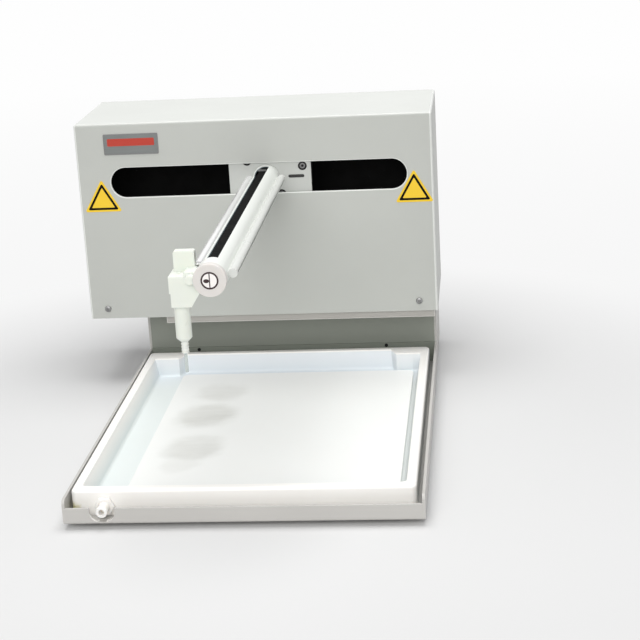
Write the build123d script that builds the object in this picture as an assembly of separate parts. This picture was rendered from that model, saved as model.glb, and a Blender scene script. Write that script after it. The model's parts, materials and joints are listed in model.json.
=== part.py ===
from build123d import *
import math
import os

# A bench-top fraction collector, in millimetres. +X is to the viewer's right, +Y goes from the
# viewer to the back, +Z is up. The origin is the middle of the whole footprint, on the table.

# Overall sizes
housing_width = 300.0
housing_depth = 110.0
housing_height = 170.0
stand_height = 57.5
foot_height = 4.0
arm_reach = 313.0
rear_proud = 5.0

# Sheets, fits and common small sizes
cover_sheet = 1.5
pan_sheet = 2.0
bend_radius = 2.0
sheet_gap = 0.2
running_gap = 0.04
moving_gap = 0.4
overrun = 2.0
screw_radius = 1.5
screw_head_radius = 2.7
screw_head_height = 1.6
screw_recess_radius = 1.2
screw_recess_depth = 0.9

# Base pan: floor, side flanges, front lip with a notch for the drain, rear cheeks
pan_width = 254.5
pan_right_inset = 3.0
pan_reach = 307.0
pan_back_inset = 2.0
flange_height = 18.5
lip_height = 12.0
stand_setback = 32.0
flange_corner_radius = 4.0
cheek_flange_width = 12.0
notch_width = 18.0
notch_depth = 10.2
notch_corner_radius = 7.0
foot_radius = 8.0
foot_taper = 1.0
foot_inset = 20.0

# Spill tray, its drain and the loose insert
tray_left_gap = 2.0
tray_right_gap = 4.0
tray_front_gap = 10.0
tray_back_gap = 16.0
tray_height = 19.0
tray_wall = 2.5
tray_rim = 7.0
tray_draft = 3.0
tray_corner_radius = 4.0
tray_rim_radius = 2.4
post_width = 26.0
post_depth = 8.0
post_side_slant = 5.0
insert_thickness = 2.0
insert_left_gap = 22.0
insert_right_gap = 3.5
insert_end_gap = 2.0
insert_corner_radius = 5.0
drain_from_pan_side = 28.2
drain_height = 7.4
drain_stub_radius = 4.2
drain_bore_radius = 1.8
drain_nut_radius = 7.2
drain_nut_length = 4.0
drain_stub_length = 13.5

# Stand under the housing
wall_sheet = 1.5
stop_strip_height = 17.5
stop_strip_thickness = 2.0
stop_screw_drop = 2.0
stop_screw_inset = 44.3
stop_screw_radius = 1.0
stop_head_radius = 1.5
stop_head_height = 0.8
beam_left_inset = 65.5
beam_right_inset = 3.0
beam_drop = 6.5
beam_front_setback = 3.0
beam_back_gap = 1.5

# Housing cover and its slot
slot_length = 250.0
slot_height = 25.5
slot_offset = 3.2
slot_top_drop = 50.7
cover_screw_side = 15.6
cover_screw_height = 8.7
chassis_flange_height = 16.0
rear_screw_inset = 8.0
vent_length = 26.0
vent_width = 2.4
vent_pitch = 6.0
vent_rows = 6
vent_columns = 3
vent_column_pitch = 34.0
vent_side = 66.0
vent_top_drop = 40.0

# Name plate and triangular stickers
plate_width = 46.5
plate_height = 17.5
plate_thickness = 0.6
plate_side = 24.7
plate_base_height = 143.4
sticker_side = 32.0
sticker_height_share = 0.866
sticker_thickness = 0.2
sticker_corner_radius = 2.0
sticker_apex_height = 122.5
sticker_left_side = 19.8
sticker_right_side = 16.2

# Cross travel: end brackets, guide shafts, belt drive
bracket_thickness = 6.0
bracket_side_gap = 2.5
bracket_front = 30.0
bracket_back = 70.0
bracket_plate = 3.0
bracket_plate_width = 32.0
bracket_top_gap = 9.0
shaft_radius = 4.0
shaft_setback = 45.0
shaft_spread = 30.0
belt_setback = 63.0
pulley_inset = 20.0
belt_width = 6.0
belt_thickness = 1.4
pulley_pitch_radius = 6.37
pulley_tooth_count = 20
pulley_tooth_depth = 0.5
pulley_flange_radius = 8.0
pulley_flange_thickness = 1.0
pulley_pin_radius = 2.0
cross_motor_side = 35.0
cross_motor_length = 28.0
cross_motor_corner = 4.0
cross_motor_boss_radius = 11.0
cross_motor_boss_height = 2.0
motor_shaft_radius = 2.5
motor_shaft_socket = 8.0
shroud_thickness = 1.0
shroud_setback = 55.5
shroud_below = 42.0
shroud_above = 38.0
shroud_slit_bottom = 1.0
shroud_slit_top = 12.0
shroud_slit_inset = 20.0

# Carriage that runs behind the slot
arm_offset = 10.4
plate_left_reach = 31.3
plate_right_reach = 37.8
carriage_plate_height = 41.0
carriage_plate_thickness = 1.5
carriage_wall = 8.0
carriage_wall_height = 38.0
carriage_left_reach = 26.0
carriage_right_reach = 36.0
cheek_thickness = 6.0
motor_cheek_thickness = 2.5
motor_cheek_inset = 5.5
slab_front = 36.0
slab_depth = 18.0
slab_height = 76.0
slab_half_width = 26.0
bush_outer_radius = 6.0
bush_length = 14.0
bush_flange_radius = 7.5
bush_flange_thickness = 1.5
clamp_half_length = 10.0
clamp_jaw = 3.0
clamp_belt_gap = 0.35
plate_slit_length = 13.5
plate_slit_height = 2.8
plate_slit_offset = 25.2
plate_slit_rise = 0.4
flush_head_radius = 3.7
flush_screw_length = 6.0
low_screw_offset = 12.2
high_screw_offset = 15.8
mark_screw_offset = 30.7
mark_screw_rise = 8.9
hidden_screw_rise = 14.2
flag_length = 8.0
flag_thickness = 1.0
flag_width = 5.0
flag_rise = 17.0
sensor_gap = 3.0
sensor_arm = 3.0
sensor_reach = 12.0
sensor_width = 6.0

# Arm: tube with a long opening, guide shaft, tubing rail, belt drive, end cap
tube_radius = 11.0
tube_wall = 1.6
opening_right = 3.5
opening_end_angle = 172.0
opening_rear_gap = 3.0
cap_radius = 11.5
cap_thickness = 5.0
cap_edge_radius = 0.8
label_radius = 6.2
label_thickness = 0.3
arm_shaft_radius = 3.15
arm_shaft_gap = 0.3
arm_shaft_drop = 0.9
seat_height = 2.0
seat_depth = 1.3
idler_block_length = 14.5
idler_from_cap = 13.0
block_roof_gap = 0.6
arm_belt_shift = 1.6
arm_drive_setback = 23.0
arm_pulley_flange_radius = 6.6
arm_pulley_pin_radius = 1.5
arm_motor_radius = 11.0
arm_motor_length = 28.0
arm_motor_edge = 1.0
rail_width = 6.4
rail_height = 6.4
rail_bore_radius = 1.9
rail_slit = 1.4
rail_rise = 1.7
rail_edge_radius = 2.6
rail_front_gap = 11.0
rail_rear_gap = 13.0
rail_front_wall = 4.0

# Dispensing head
head_cap_gap = 4.0
head_depth = 21.0
clamp_outer_reach = 29.6
clamp_inner_reach = 8.9
clamp_bottom = 11.1
clamp_top = 0.7
sleeve_wall = 1.4
sleeve_edge_radius = 1.0
top_block_outer = 27.7
top_block_inner = 13.1
top_block_top = 14.9
top_block_setback = 13.5
top_block_depth = 6.5
top_block_radius = 1.5
neck_outer = 28.7
neck_inner = 14.9
neck_bottom = 20.7
neck_depth = 16.0
barrel_radius = 5.5
barrel_side = 23.1
barrel_bottom = 46.7
barrel_top = 14.5
barrel_chamfer = 2.6
barrel_bore_radius = 1.5
barrel_socket_depth = 5.0
barrel_rise_room = 9.5
feed_hole_radius = 0.9
tip_radius = 2.6
tip_length = 8.3
tip_ridge = 0.35
tip_ridge_count = 4
outlet_radius = 1.2
outlet_bore_radius = 0.6
outlet_length = 22.5
grip_screw_radius = 1.5
grip_screw_rise = 3.7
grip_knob_radius = 3.2
grip_knob_length = 5.0
clip_thickness = 1.2
clip_depth = 5.5
clip_belt_gap = 0.35

# Electronics and the rear connectors
board_width = 150.0
board_depth = 44.0
board_thickness = 1.6
board_left_reach = 90.0
board_back_gap = 4.5
standoff_height = 6.0
standoff_radius = 3.0
standoff_inset = 6.0
chip_side = 20.0
chip_height = 2.0
chip_place_shares = (0.2, 0.45)
driver_width = 14.0
driver_depth = 10.0
driver_height = 3.5
driver_place_shares = (0.48, 0.35)
capacitor_width = 10.0
capacitor_depth = 18.0
capacitor_height = 9.0
capacitor_place_shares = (0.72, 0.4)
socket_left_reach = 20.0
socket_flange_width = 31.0
socket_flange_height = 12.5
socket_flange_thickness = 1.0
socket_body_width = 19.0
socket_body_height = 10.6
socket_body_depth = 12.0
socket_shell_width = 16.9
socket_shell_height = 8.3
socket_shell_wall = 0.5
socket_shell_depth = 5.5
socket_shell_corner = 2.0
inlet_board_inset = 28.0
inlet_flange_radius = 8.5
inlet_body_side = 15.0
inlet_body_depth = 12.0
inlet_socket_radius = 4.8
inlet_socket_depth = 8.0
inlet_proud = 2.5
connector_rise = 16.0
switch_side = 54.0
switch_width = 15.0
switch_height = 21.0
switch_bezel_width = 18.0
switch_bezel_height = 25.0
switch_bezel_thickness = 2.0
switch_depth = 14.0
switch_wall = 1.4
rocker_tilt = 9.0
rocker_pin_radius = 1.5
rocker_pin_setback = 3.0
rocker_gap = 0.35
rocker_thickness = 8.0

# Places worked out from the sizes
total_depth = arm_reach + housing_depth + rear_proud
front_y = total_depth / 2 - rear_proud - housing_depth
back_y = front_y + housing_depth
left_x = -housing_width / 2
right_x = housing_width / 2
pan_bottom = foot_height
pan_top = pan_bottom + pan_sheet
housing_bottom = foot_height + stand_height
housing_top_z = housing_bottom + housing_height
pan_right = right_x - pan_right_inset
pan_left = pan_right - pan_width
pan_front = front_y - pan_reach
pan_back = back_y - pan_back_inset
stand_front = front_y + stand_setback
chassis_top = housing_bottom + cover_sheet
slot_z = housing_top_z - slot_top_drop
slot_x = slot_offset
arm_x = arm_offset
arm_front = front_y - arm_reach
tube_front = arm_front + cap_thickness
plate_front = front_y + cover_sheet + moving_gap
plate_back = plate_front + carriage_plate_thickness
carriage_wall_back = plate_back + carriage_wall
slab_front_y = front_y + slab_front
slab_back_y = slab_front_y + slab_depth
shaft_y = front_y + shaft_setback
belt_y = front_y + belt_setback
belt_inner_radius = pulley_pitch_radius - belt_thickness / 2
belt_outer_radius = pulley_pitch_radius + belt_thickness / 2
bracket_inner_left = left_x + cover_sheet + bracket_side_gap + bracket_thickness
bracket_inner_right = -bracket_inner_left
pulley_left_x = left_x + pulley_inset
pulley_right_x = right_x - pulley_inset
bracket_back_y = front_y + bracket_back
arm_shaft_x = arm_x - tube_radius - arm_shaft_gap - arm_shaft_radius
arm_shaft_z = slot_z - arm_shaft_drop
arm_belt_x = arm_x - arm_belt_shift
arm_idler_y = arm_front + idler_from_cap
arm_drive_y = front_y + arm_drive_setback
head_front = tube_front + head_cap_gap
head_back = head_front + head_depth
barrel_x = arm_x - barrel_side
barrel_y = head_front + neck_depth / 2
tray_left = pan_left + pan_sheet + tray_left_gap
tray_right = pan_right - pan_sheet - tray_right_gap
tray_front = pan_front + pan_sheet + tray_front_gap
tray_back = stand_front - stop_strip_thickness - tray_back_gap
tray_top = pan_top + tray_height
drain_x = pan_left + drain_from_pan_side
drain_z = pan_top + drain_height
board_left = -board_left_reach
board_z = chassis_top + standoff_height
socket_centre = -socket_left_reach
inlet_centre = board_left + board_width - inlet_board_inset
switch_centre = right_x - switch_side
connector_z = chassis_top + connector_rise


def block(x0, x1, y0, y1, z0, z1):
    """A box between two corners."""
    centre = Pos((x0 + x1) / 2, (y0 + y1) / 2, (z0 + z1) / 2)
    return centre * Box(abs(x1 - x0), abs(y1 - y0), abs(z1 - z0))


def rod_x(radius, x0, x1, y, z):
    """A round bar along X."""
    return Pos((x0 + x1) / 2, y, z) * Rot(0, 90, 0) * Cylinder(radius, abs(x1 - x0))


def rod_y(radius, y0, y1, x, z):
    """A round bar along Y."""
    return Pos(x, (y0 + y1) / 2, z) * Rot(90, 0, 0) * Cylinder(radius, abs(y1 - y0))


def rod_z(radius, z0, z1, x, y):
    """A round bar along Z."""
    return Pos(x, y, (z0 + z1) / 2) * Cylinder(radius, abs(z1 - z0))


def panel_xz(sketch, y0, y1):
    """A flat outline drawn in X and Z, made solid from y0 back to y1."""
    plane = Plane(origin=(0, y1, 0), x_dir=(1, 0, 0), z_dir=(0, -1, 0))
    return extrude(plane * sketch, y1 - y0)


def outline_xy(points, z0, z1):
    """A closed outline of X and Y points, made solid from z0 up to z1."""
    return extrude(Plane.XY.offset(z0) * make_face(Polyline(points, close=True)), z1 - z0)


def outline_yz(points, x0, x1):
    """A closed outline of Y and Z points, made solid from x0 to x1."""
    plane = Plane(origin=(x0, 0, 0), x_dir=(0, 1, 0), z_dir=(1, 0, 0))
    return extrude(plane * make_face(Polyline(points, close=True)), x1 - x0)


def outline_xz(points, y0, y1):
    """A closed outline of X and Z points, made solid from y0 back to y1."""
    return panel_xz(make_face(Polyline(points, close=True)), y0, y1)


def edges_near(shape, axis, test):
    """The straight edges of a shape along an axis whose middle passes a test."""
    return [edge for edge in shape.edges().filter_by(axis) if test(edge.center())]


def close_to(value, target):
    """True where two places are the same within a hundredth of a sheet gap."""
    return abs(value - target) < sheet_gap / 100


def screw_y(x, z, face_y, length, way):
    """A screw along Y: a pan head with a round recess, on the side that way points to."""
    head_end = face_y + way * screw_head_height
    head = rod_y(screw_head_radius, face_y, head_end, x, z)
    shank = rod_y(screw_radius, face_y - way * length, face_y, x, z)
    recess = rod_y(screw_recess_radius, head_end - way * screw_recess_depth, head_end, x, z)
    return head + shank - recess


def base_pan():
    """Floor, side flanges that rise into cheeks at the back, and the notched front lip."""
    floor = block(pan_left, pan_right, pan_front, pan_back, pan_bottom, pan_top)
    flange_top = pan_bottom + flange_height
    side_points = (
        (pan_front, pan_bottom),
        (pan_back, pan_bottom),
        (pan_back, housing_bottom),
        (stand_front, housing_bottom),
        (stand_front, flange_top),
        (pan_front, flange_top),
    )
    pan = floor
    for x0 in (pan_left, pan_right - pan_sheet):
        side = outline_yz(side_points, x0, x0 + pan_sheet)
        corner = edges_near(side, Axis.X, lambda c: close_to(c.Y, pan_front) and close_to(c.Z, flange_top))
        pan += fillet(corner, flange_corner_radius)
    for x0, x1 in ((pan_left, pan_left + cheek_flange_width), (pan_right - cheek_flange_width, pan_right)):
        pan += block(x0, x1, stand_front + wall_sheet, pan_back, housing_bottom - pan_sheet, housing_bottom)
    lip_top = pan_bottom + lip_height
    pan += block(pan_left, pan_right, pan_front, pan_front + pan_sheet, pan_bottom, lip_top)
    notch_low = lip_top - notch_depth
    notch = block(
        drain_x - notch_width / 2,
        drain_x + notch_width / 2,
        pan_front - overrun,
        pan_front + pan_sheet + overrun,
        notch_low,
        lip_top + overrun,
    )
    low_edges = edges_near(notch, Axis.Y, lambda c: close_to(c.Z, notch_low))
    pan -= fillet(low_edges, notch_corner_radius)
    outer_bends = edges_near(
        pan,
        Axis.Y,
        lambda c: close_to(c.Z, pan_bottom) and (close_to(c.X, pan_left) or close_to(c.X, pan_right)),
    )
    outer_bends += edges_near(pan, Axis.X, lambda c: close_to(c.Z, pan_bottom) and close_to(c.Y, pan_front))
    return fillet(outer_bends, bend_radius)


def rubber_feet():
    """Four tapered rubber feet under the pan's corners."""
    feet = []
    for x in (pan_left + foot_inset, pan_right - foot_inset):
        for y in (pan_front + foot_inset, pan_back - foot_inset):
            foot = Pos(x, y, foot_height / 2) * Cone(foot_radius - foot_taper, foot_radius, foot_height)
            feet.append(foot)
    return Compound(feet)


def tray_pocket(grow, floor_z, top_z):
    """The tray's hollow between two heights, with its drafted walls moved out by grow."""
    width = tray_right - tray_left - 2 * tray_rim
    length = tray_back - tray_front - 2 * tray_rim
    centre_x = (tray_left + tray_right) / 2
    centre_y = (tray_front + tray_back) / 2
    drop = tray_height - tray_wall
    sections = []
    for z in (floor_z, top_z):
        inset = tray_draft * (tray_top - z) / drop
        wide = width - 2 * inset + 2 * grow
        long = length - 2 * inset + 2 * grow
        radius = tray_corner_radius - inset / 2 + grow
        sections.append(Pos(centre_x, centre_y, z) * RectangleRounded(wide, long, radius))
    return loft(sections, ruled=True)


def tray_post(side):
    """A rear corner post of the tray with a slanted inner side, at the left (-1) or the right (1)."""
    inner_x = tray_right - tray_rim if side > 0 else tray_left + tray_rim
    rear_x = inner_x - side * post_width
    front_x = rear_x + side * post_side_slant
    front_y = tray_back - tray_rim - tray_draft - post_depth
    wall_y = tray_back - tray_rim
    plan = (
        (inner_x, front_y),
        (front_x, front_y),
        (rear_x, wall_y),
        (rear_x, tray_back),
        (inner_x, tray_back),
    )
    return outline_xy(plan, pan_top, tray_top)


def spill_tray():
    """A moulded tray: outer skirt, flat rim, drafted inner walls, floor, two rear corner posts."""
    body = block(tray_left, tray_right, tray_front, tray_back, pan_top, tray_top)
    body = fillet(body.edges().filter_by(Axis.Z), tray_corner_radius)
    body = fillet(body.faces().sort_by(Axis.Z)[-1].outer_wire().edges(), tray_rim_radius)
    floor_z = pan_top + tray_wall
    hollow = tray_pocket(0, floor_z, tray_top)
    post_front = tray_back - tray_rim - tray_draft - post_depth
    inner_left = tray_left + tray_rim
    inner_right = tray_right - tray_rim
    hollow -= tray_post(-1)
    hollow -= tray_post(1)
    under_top = tray_top - tray_wall
    under = block(
        tray_left + tray_wall,
        tray_right - tray_wall,
        tray_front + tray_wall,
        tray_back - tray_wall,
        pan_top,
        under_top,
    )
    under = fillet(under.edges().filter_by(Axis.Z), tray_corner_radius - tray_wall)
    under -= tray_pocket(tray_wall, pan_top, under_top)
    rear_posts = block(inner_left, inner_right, post_front - tray_wall, tray_back, pan_top, under_top)
    under -= rear_posts
    hole_end = tray_front + tray_rim + tray_draft + overrun
    hole = rod_y(drain_bore_radius, tray_front - overrun, hole_end, drain_x, drain_z)
    return body - hollow - under - hole


def drain_spout():
    """A nut against the tray's front wall and a stub through the lip's notch."""
    nut = rod_y(drain_nut_radius, tray_front - drain_nut_length, tray_front, drain_x, drain_z)
    stub_front = tray_front - drain_stub_length
    spout = nut + rod_y(drain_stub_radius, stub_front, tray_front, drain_x, drain_z)
    return spout - rod_y(drain_bore_radius, stub_front - overrun, tray_front + overrun, drain_x, drain_z)


def tray_insert():
    """The loose flat sheet on the tray's floor."""
    x0 = tray_left + tray_rim + tray_draft + insert_left_gap
    x1 = tray_right - tray_rim - tray_draft - insert_right_gap
    y0 = tray_front + tray_rim + tray_draft + insert_end_gap
    y1 = tray_back - tray_rim - tray_draft - post_depth - insert_end_gap
    low = pan_top + tray_wall
    sheet = block(x0, x1, y0, y1, low, low + insert_thickness)
    return fillet(sheet.edges().filter_by(Axis.Z), insert_corner_radius)


def recess_wall():
    """The stand's front wall, in the recess under the housing."""
    x0 = pan_left + pan_sheet
    x1 = pan_right - pan_sheet
    return block(x0, x1, stand_front, stand_front + wall_sheet, pan_top, housing_bottom)


def stop_strip():
    """The strip that the tray's back end comes to, in front of the recess wall's foot."""
    x0 = pan_left + pan_sheet
    x1 = pan_right - pan_sheet
    strip_top = pan_top + stop_strip_height
    face = stand_front - stop_strip_thickness
    strip = block(x0, x1, face, stand_front, pan_top, strip_top)
    for x in stop_screw_places():
        strip -= rod_y(stop_screw_radius, face - overrun, stand_front, x, stop_screw_z())
    return strip


def stop_screw_places():
    """The X of the stop strip's two screws."""
    return (pan_left + stop_screw_inset, pan_right - stop_screw_inset)


def stop_screw_z():
    """The height of the stop strip's screws."""
    return pan_top + stop_strip_height - stop_screw_drop


def stop_screws():
    """The two small flat-headed screws of the stop strip."""
    face = stand_front - stop_strip_thickness
    z = stop_screw_z()
    screws = []
    for x in stop_screw_places():
        head = rod_y(stop_head_radius, face - stop_head_height, face, x, z)
        screws.append(head + rod_y(stop_screw_radius, face, stand_front, x, z))
    return Compound(screws)


def cross_beam():
    """A folded channel under the housing's overhang."""
    x0 = left_x + beam_left_inset
    x1 = right_x - beam_right_inset
    y0 = front_y + beam_front_setback
    y1 = stand_front - beam_back_gap
    low = housing_bottom - beam_drop
    beam = block(x0, x1, y0, y1, low, housing_bottom)
    hollow = block(
        x0 - overrun,
        x1 + overrun,
        y0 + cover_sheet,
        y1 - cover_sheet,
        low - overrun,
        housing_bottom - cover_sheet,
    )
    return beam - hollow


def stand_rear_panel():
    """The panel that closes the back of the stand."""
    x0 = pan_left + pan_sheet
    x1 = pan_right - pan_sheet
    top = housing_bottom - pan_sheet
    return block(x0, x1, pan_back - wall_sheet, pan_back, pan_top, top)


def chassis_floor():
    """The housing's floor, with the front flange that the cover is screwed to."""
    x0 = left_x + cover_sheet + sheet_gap
    x1 = right_x - cover_sheet - sheet_gap
    y0 = front_y + cover_sheet
    floor = block(x0, x1, y0, back_y - cover_sheet, housing_bottom, chassis_top)
    flange = block(x0, x1, y0, y0 + cover_sheet, housing_bottom, housing_bottom + chassis_flange_height)
    floor += flange
    for x, z in cover_screw_places():
        floor -= rod_y(screw_radius, y0 - overrun, y0 + cover_sheet + overrun, x, z)
    return floor


def cover_screw_places():
    """X and Z of the cover's two front screws."""
    z = housing_bottom + cover_screw_height
    return ((left_x + cover_screw_side, z), (right_x - cover_screw_side, z))


def housing_cover():
    """Front, top and two sides in one folded sheet, with the long slot in the front."""
    shell = block(left_x, right_x, front_y, back_y, housing_bottom, housing_top_z)
    upright = edges_near(shell, Axis.Z, lambda c: close_to(c.Y, front_y))
    across = edges_near(shell, Axis.X, lambda c: close_to(c.Y, front_y) and close_to(c.Z, housing_top_z))
    along = edges_near(shell, Axis.Y, lambda c: close_to(c.Z, housing_top_z))
    shell = fillet(upright + across + along, bend_radius)
    shell -= block(
        left_x + cover_sheet,
        right_x - cover_sheet,
        front_y + cover_sheet,
        back_y + overrun,
        housing_bottom - overrun,
        housing_top_z - cover_sheet,
    )
    slot = Pos(slot_x, slot_z) * SlotOverall(slot_length, slot_height)
    shell -= panel_xz(slot, front_y - overrun, front_y + cover_sheet + overrun)
    for x, z in cover_screw_places():
        shell -= rod_y(screw_radius, front_y - overrun, front_y + cover_sheet + overrun, x, z)
    return shell


def cover_screws():
    """The two screws at the foot of the cover's front."""
    return Compound([screw_y(x, z, front_y, 2 * cover_sheet, -1) for x, z in cover_screw_places()])


def rear_screw_places():
    """X and Z of the rear panel's screws."""
    x = housing_width / 2 - cover_sheet - rear_screw_inset
    low = chassis_top + rear_screw_inset
    high = housing_top_z - cover_sheet - rear_screw_inset
    return ((-x, low), (x, low), (-x, high), (x, high))


def rear_panel():
    """The housing's rear panel, with vents and cut-outs for the connectors and the switch."""
    x1 = housing_width / 2 - cover_sheet - sheet_gap
    y0 = back_y - cover_sheet
    top = housing_top_z - cover_sheet - sheet_gap
    panel = block(-x1, x1, y0, back_y, housing_bottom, top)
    for x, z in rear_screw_places():
        panel -= rod_y(screw_radius, y0 - overrun, back_y + overrun, x, z)
    for side in (-1, 1):
        for column in range(vent_columns):
            for row in range(vent_rows):
                x = side * (vent_side + (column - (vent_columns - 1) / 2) * vent_column_pitch)
                z = housing_top_z - vent_top_drop - row * vent_pitch
                vent = Pos(x, z) * SlotOverall(vent_length, vent_width)
                panel -= panel_xz(vent, y0 - overrun, back_y + overrun)
    panel -= block(
        socket_centre - socket_body_width / 2,
        socket_centre + socket_body_width / 2,
        y0 - overrun,
        back_y + overrun,
        connector_z - socket_body_height / 2,
        connector_z + socket_body_height / 2,
    )
    panel -= block(
        inlet_centre - inlet_body_side / 2,
        inlet_centre + inlet_body_side / 2,
        y0 - overrun,
        back_y + overrun,
        connector_z - inlet_body_side / 2,
        connector_z + inlet_body_side / 2,
    )
    switch_z = switch_centre_z()
    panel -= block(
        switch_centre - switch_width / 2,
        switch_centre + switch_width / 2,
        y0 - overrun,
        back_y + overrun,
        switch_z - switch_height / 2,
        switch_z + switch_height / 2,
    )
    return panel


def rear_screws():
    """The rear panel's four screws."""
    return Compound([screw_y(x, z, back_y, cover_sheet, 1) for x, z in rear_screw_places()])


def name_plate():
    """A bare thin plate at the upper left of the cover's front."""
    x0 = left_x + plate_side
    z0 = housing_bottom + plate_base_height
    return block(x0, x0 + plate_width, front_y - plate_thickness, front_y, z0, z0 + plate_height)


def triangle_stickers():
    """Two plain triangular stickers, one beside each end of the slot."""
    height = sticker_side * sticker_height_share
    apex = housing_bottom + sticker_apex_height
    stickers = []
    for x in (left_x + sticker_left_side, right_x - sticker_right_side):
        points = (
            (x, apex),
            (x - sticker_side / 2, apex - height),
            (x + sticker_side / 2, apex - height),
        )
        sticker = outline_xz(points, front_y - sticker_thickness, front_y)
        stickers.append(fillet(sticker.edges().filter_by(Axis.Y), sticker_corner_radius))
    return Compound(stickers)


def end_bracket(side):
    """An upright beside the housing's wall, with the plate that carries a pulley's pin or the motor."""
    inner = side * bracket_inner_right
    outer = inner + side * bracket_thickness
    top = housing_top_z - cover_sheet - bracket_top_gap
    upright = block(inner, outer, front_y + bracket_front, bracket_back_y, chassis_top, top)
    plate_edge = outer - side * bracket_plate_width
    plate_z = slot_z + cross_motor_side / 2
    plate = block(plate_edge, outer, bracket_back_y, bracket_back_y + bracket_plate, chassis_top, plate_z)
    bracket = upright + plate
    hole_start = inner - side * overrun
    hole_end = outer + side * overrun
    for rise in (-shaft_spread, shaft_spread):
        bracket -= rod_x(shaft_radius, hole_start, hole_end, shaft_y, slot_z + rise)
    return bracket


def left_end_bracket():
    """The left upright, with the idler's pin hole."""
    bracket = end_bracket(-1)
    hole_end = bracket_back_y + bracket_plate + overrun
    return bracket - rod_y(pulley_pin_radius, bracket_back_y - overrun, hole_end, pulley_left_x, slot_z)


def right_end_bracket():
    """The right upright, with the motor's round seat."""
    bracket = end_bracket(1)
    hole_end = bracket_back_y + bracket_plate + overrun
    hole = rod_y(cross_motor_boss_radius, bracket_back_y - overrun, hole_end, pulley_right_x, slot_z)
    return bracket - hole


def cross_shafts():
    """The two polished shafts that the carriage runs on."""
    x0 = bracket_inner_left - bracket_thickness
    x1 = bracket_inner_right + bracket_thickness
    rises = (-shaft_spread, shaft_spread)
    return Compound([rod_x(shaft_radius, x0, x1, shaft_y, slot_z + rise) for rise in rises])


def slot_shroud():
    """A black sheet behind the carriage, with a slit for the belt clamp."""
    y0 = front_y + shroud_setback
    y1 = y0 + shroud_thickness
    low = slot_z - shroud_below
    high = slot_z + shroud_above
    sheet = block(bracket_inner_left, bracket_inner_right, y0, y1, low, high)
    return sheet - block(
        bracket_inner_left + shroud_slit_inset,
        bracket_inner_right - shroud_slit_inset,
        y0 - overrun,
        y1 + overrun,
        slot_z + shroud_slit_bottom,
        slot_z + shroud_slit_top,
    )


def belt_loop(span):
    """A belt round two pulleys, flat in XY about its middle, as wide as the belt along Z."""
    outer = SlotCenterToCenter(span, 2 * belt_outer_radius)
    inner = SlotCenterToCenter(span, 2 * belt_inner_radius)
    return extrude(outer - inner, belt_width / 2, both=True)


def cross_belt():
    """The toothed belt that pulls the carriage."""
    middle = (pulley_left_x + pulley_right_x) / 2
    return Pos(middle, belt_y, slot_z) * Rot(90, 0, 0) * belt_loop(pulley_right_x - pulley_left_x)


def pulley(flange_radius, bore_radius):
    """A toothed pulley on the Z axis, with a flange at each end."""
    core_radius = belt_inner_radius - moving_gap
    half = belt_width / 2 + moving_gap
    core = Circle(core_radius)
    tooth_width = math.pi * core_radius / pulley_tooth_count
    for place in PolarLocations(core_radius, pulley_tooth_count):
        core -= place * Rectangle(2 * pulley_tooth_depth, tooth_width)
    wheel = extrude(core, half, both=True)
    for side in (-1, 1):
        middle = side * (half + pulley_flange_thickness / 2)
        wheel += Pos(0, 0, middle) * Cylinder(flange_radius, pulley_flange_thickness)
    reach = 2 * half + 2 * pulley_flange_thickness + overrun
    return wheel - Cylinder(bore_radius, reach)


def cross_drive_pulley():
    """The pulley on the cross-travel motor's shaft."""
    wheel = pulley(pulley_flange_radius, motor_shaft_radius)
    return Pos(pulley_right_x, belt_y, slot_z) * Rot(90, 0, 0) * wheel


def cross_idler_pulley():
    """The pulley at the belt's left end."""
    wheel = pulley(pulley_flange_radius, pulley_pin_radius + running_gap)
    return Pos(pulley_left_x, belt_y, slot_z) * Rot(90, 0, 0) * wheel


def pulley_half_width():
    """Half the width of a pulley over its flanges."""
    return belt_width / 2 + moving_gap + pulley_flange_thickness


def cross_idler_pin():
    """The fixed pin of the left pulley, with a head that keeps the pulley on."""
    head_back_y = belt_y - pulley_half_width() - moving_gap
    head_front_y = head_back_y - pulley_flange_thickness
    pin = rod_y(pulley_pin_radius, head_back_y, bracket_back_y + bracket_plate, pulley_left_x, slot_z)
    return pin + rod_y(2 * pulley_pin_radius, head_front_y, head_back_y, pulley_left_x, slot_z)


def cross_motor():
    """The square stepping motor behind the right bracket's plate."""
    y0 = bracket_back_y + bracket_plate
    half = cross_motor_side / 2
    body = block(
        pulley_right_x - half,
        pulley_right_x + half,
        y0,
        y0 + cross_motor_length,
        slot_z - half,
        slot_z + half,
    )
    body = chamfer(body.edges().filter_by(Axis.Y), cross_motor_corner)
    boss_front = y0 - cross_motor_boss_height
    body += rod_y(cross_motor_boss_radius, boss_front, y0, pulley_right_x, slot_z)
    socket_radius = motor_shaft_radius + running_gap
    socket_end = y0 + motor_shaft_socket
    return body - rod_y(socket_radius, boss_front - overrun, socket_end, pulley_right_x, slot_z)


def cross_motor_shaft():
    """The motor's shaft, which carries the drive pulley."""
    y1 = bracket_back_y + bracket_plate + motor_shaft_socket - moving_gap
    return rod_y(motor_shaft_radius, belt_y - pulley_half_width(), y1, pulley_right_x, slot_z)


def carriage_screw_places():
    """X and Z of the carriage plate's screws."""
    return (
        (arm_x + mark_screw_offset, slot_z + mark_screw_rise),
        (arm_x + low_screw_offset, slot_z - hidden_screw_rise),
        (arm_x - high_screw_offset, slot_z + hidden_screw_rise),
        (arm_x - high_screw_offset, slot_z - hidden_screw_rise),
    )


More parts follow.
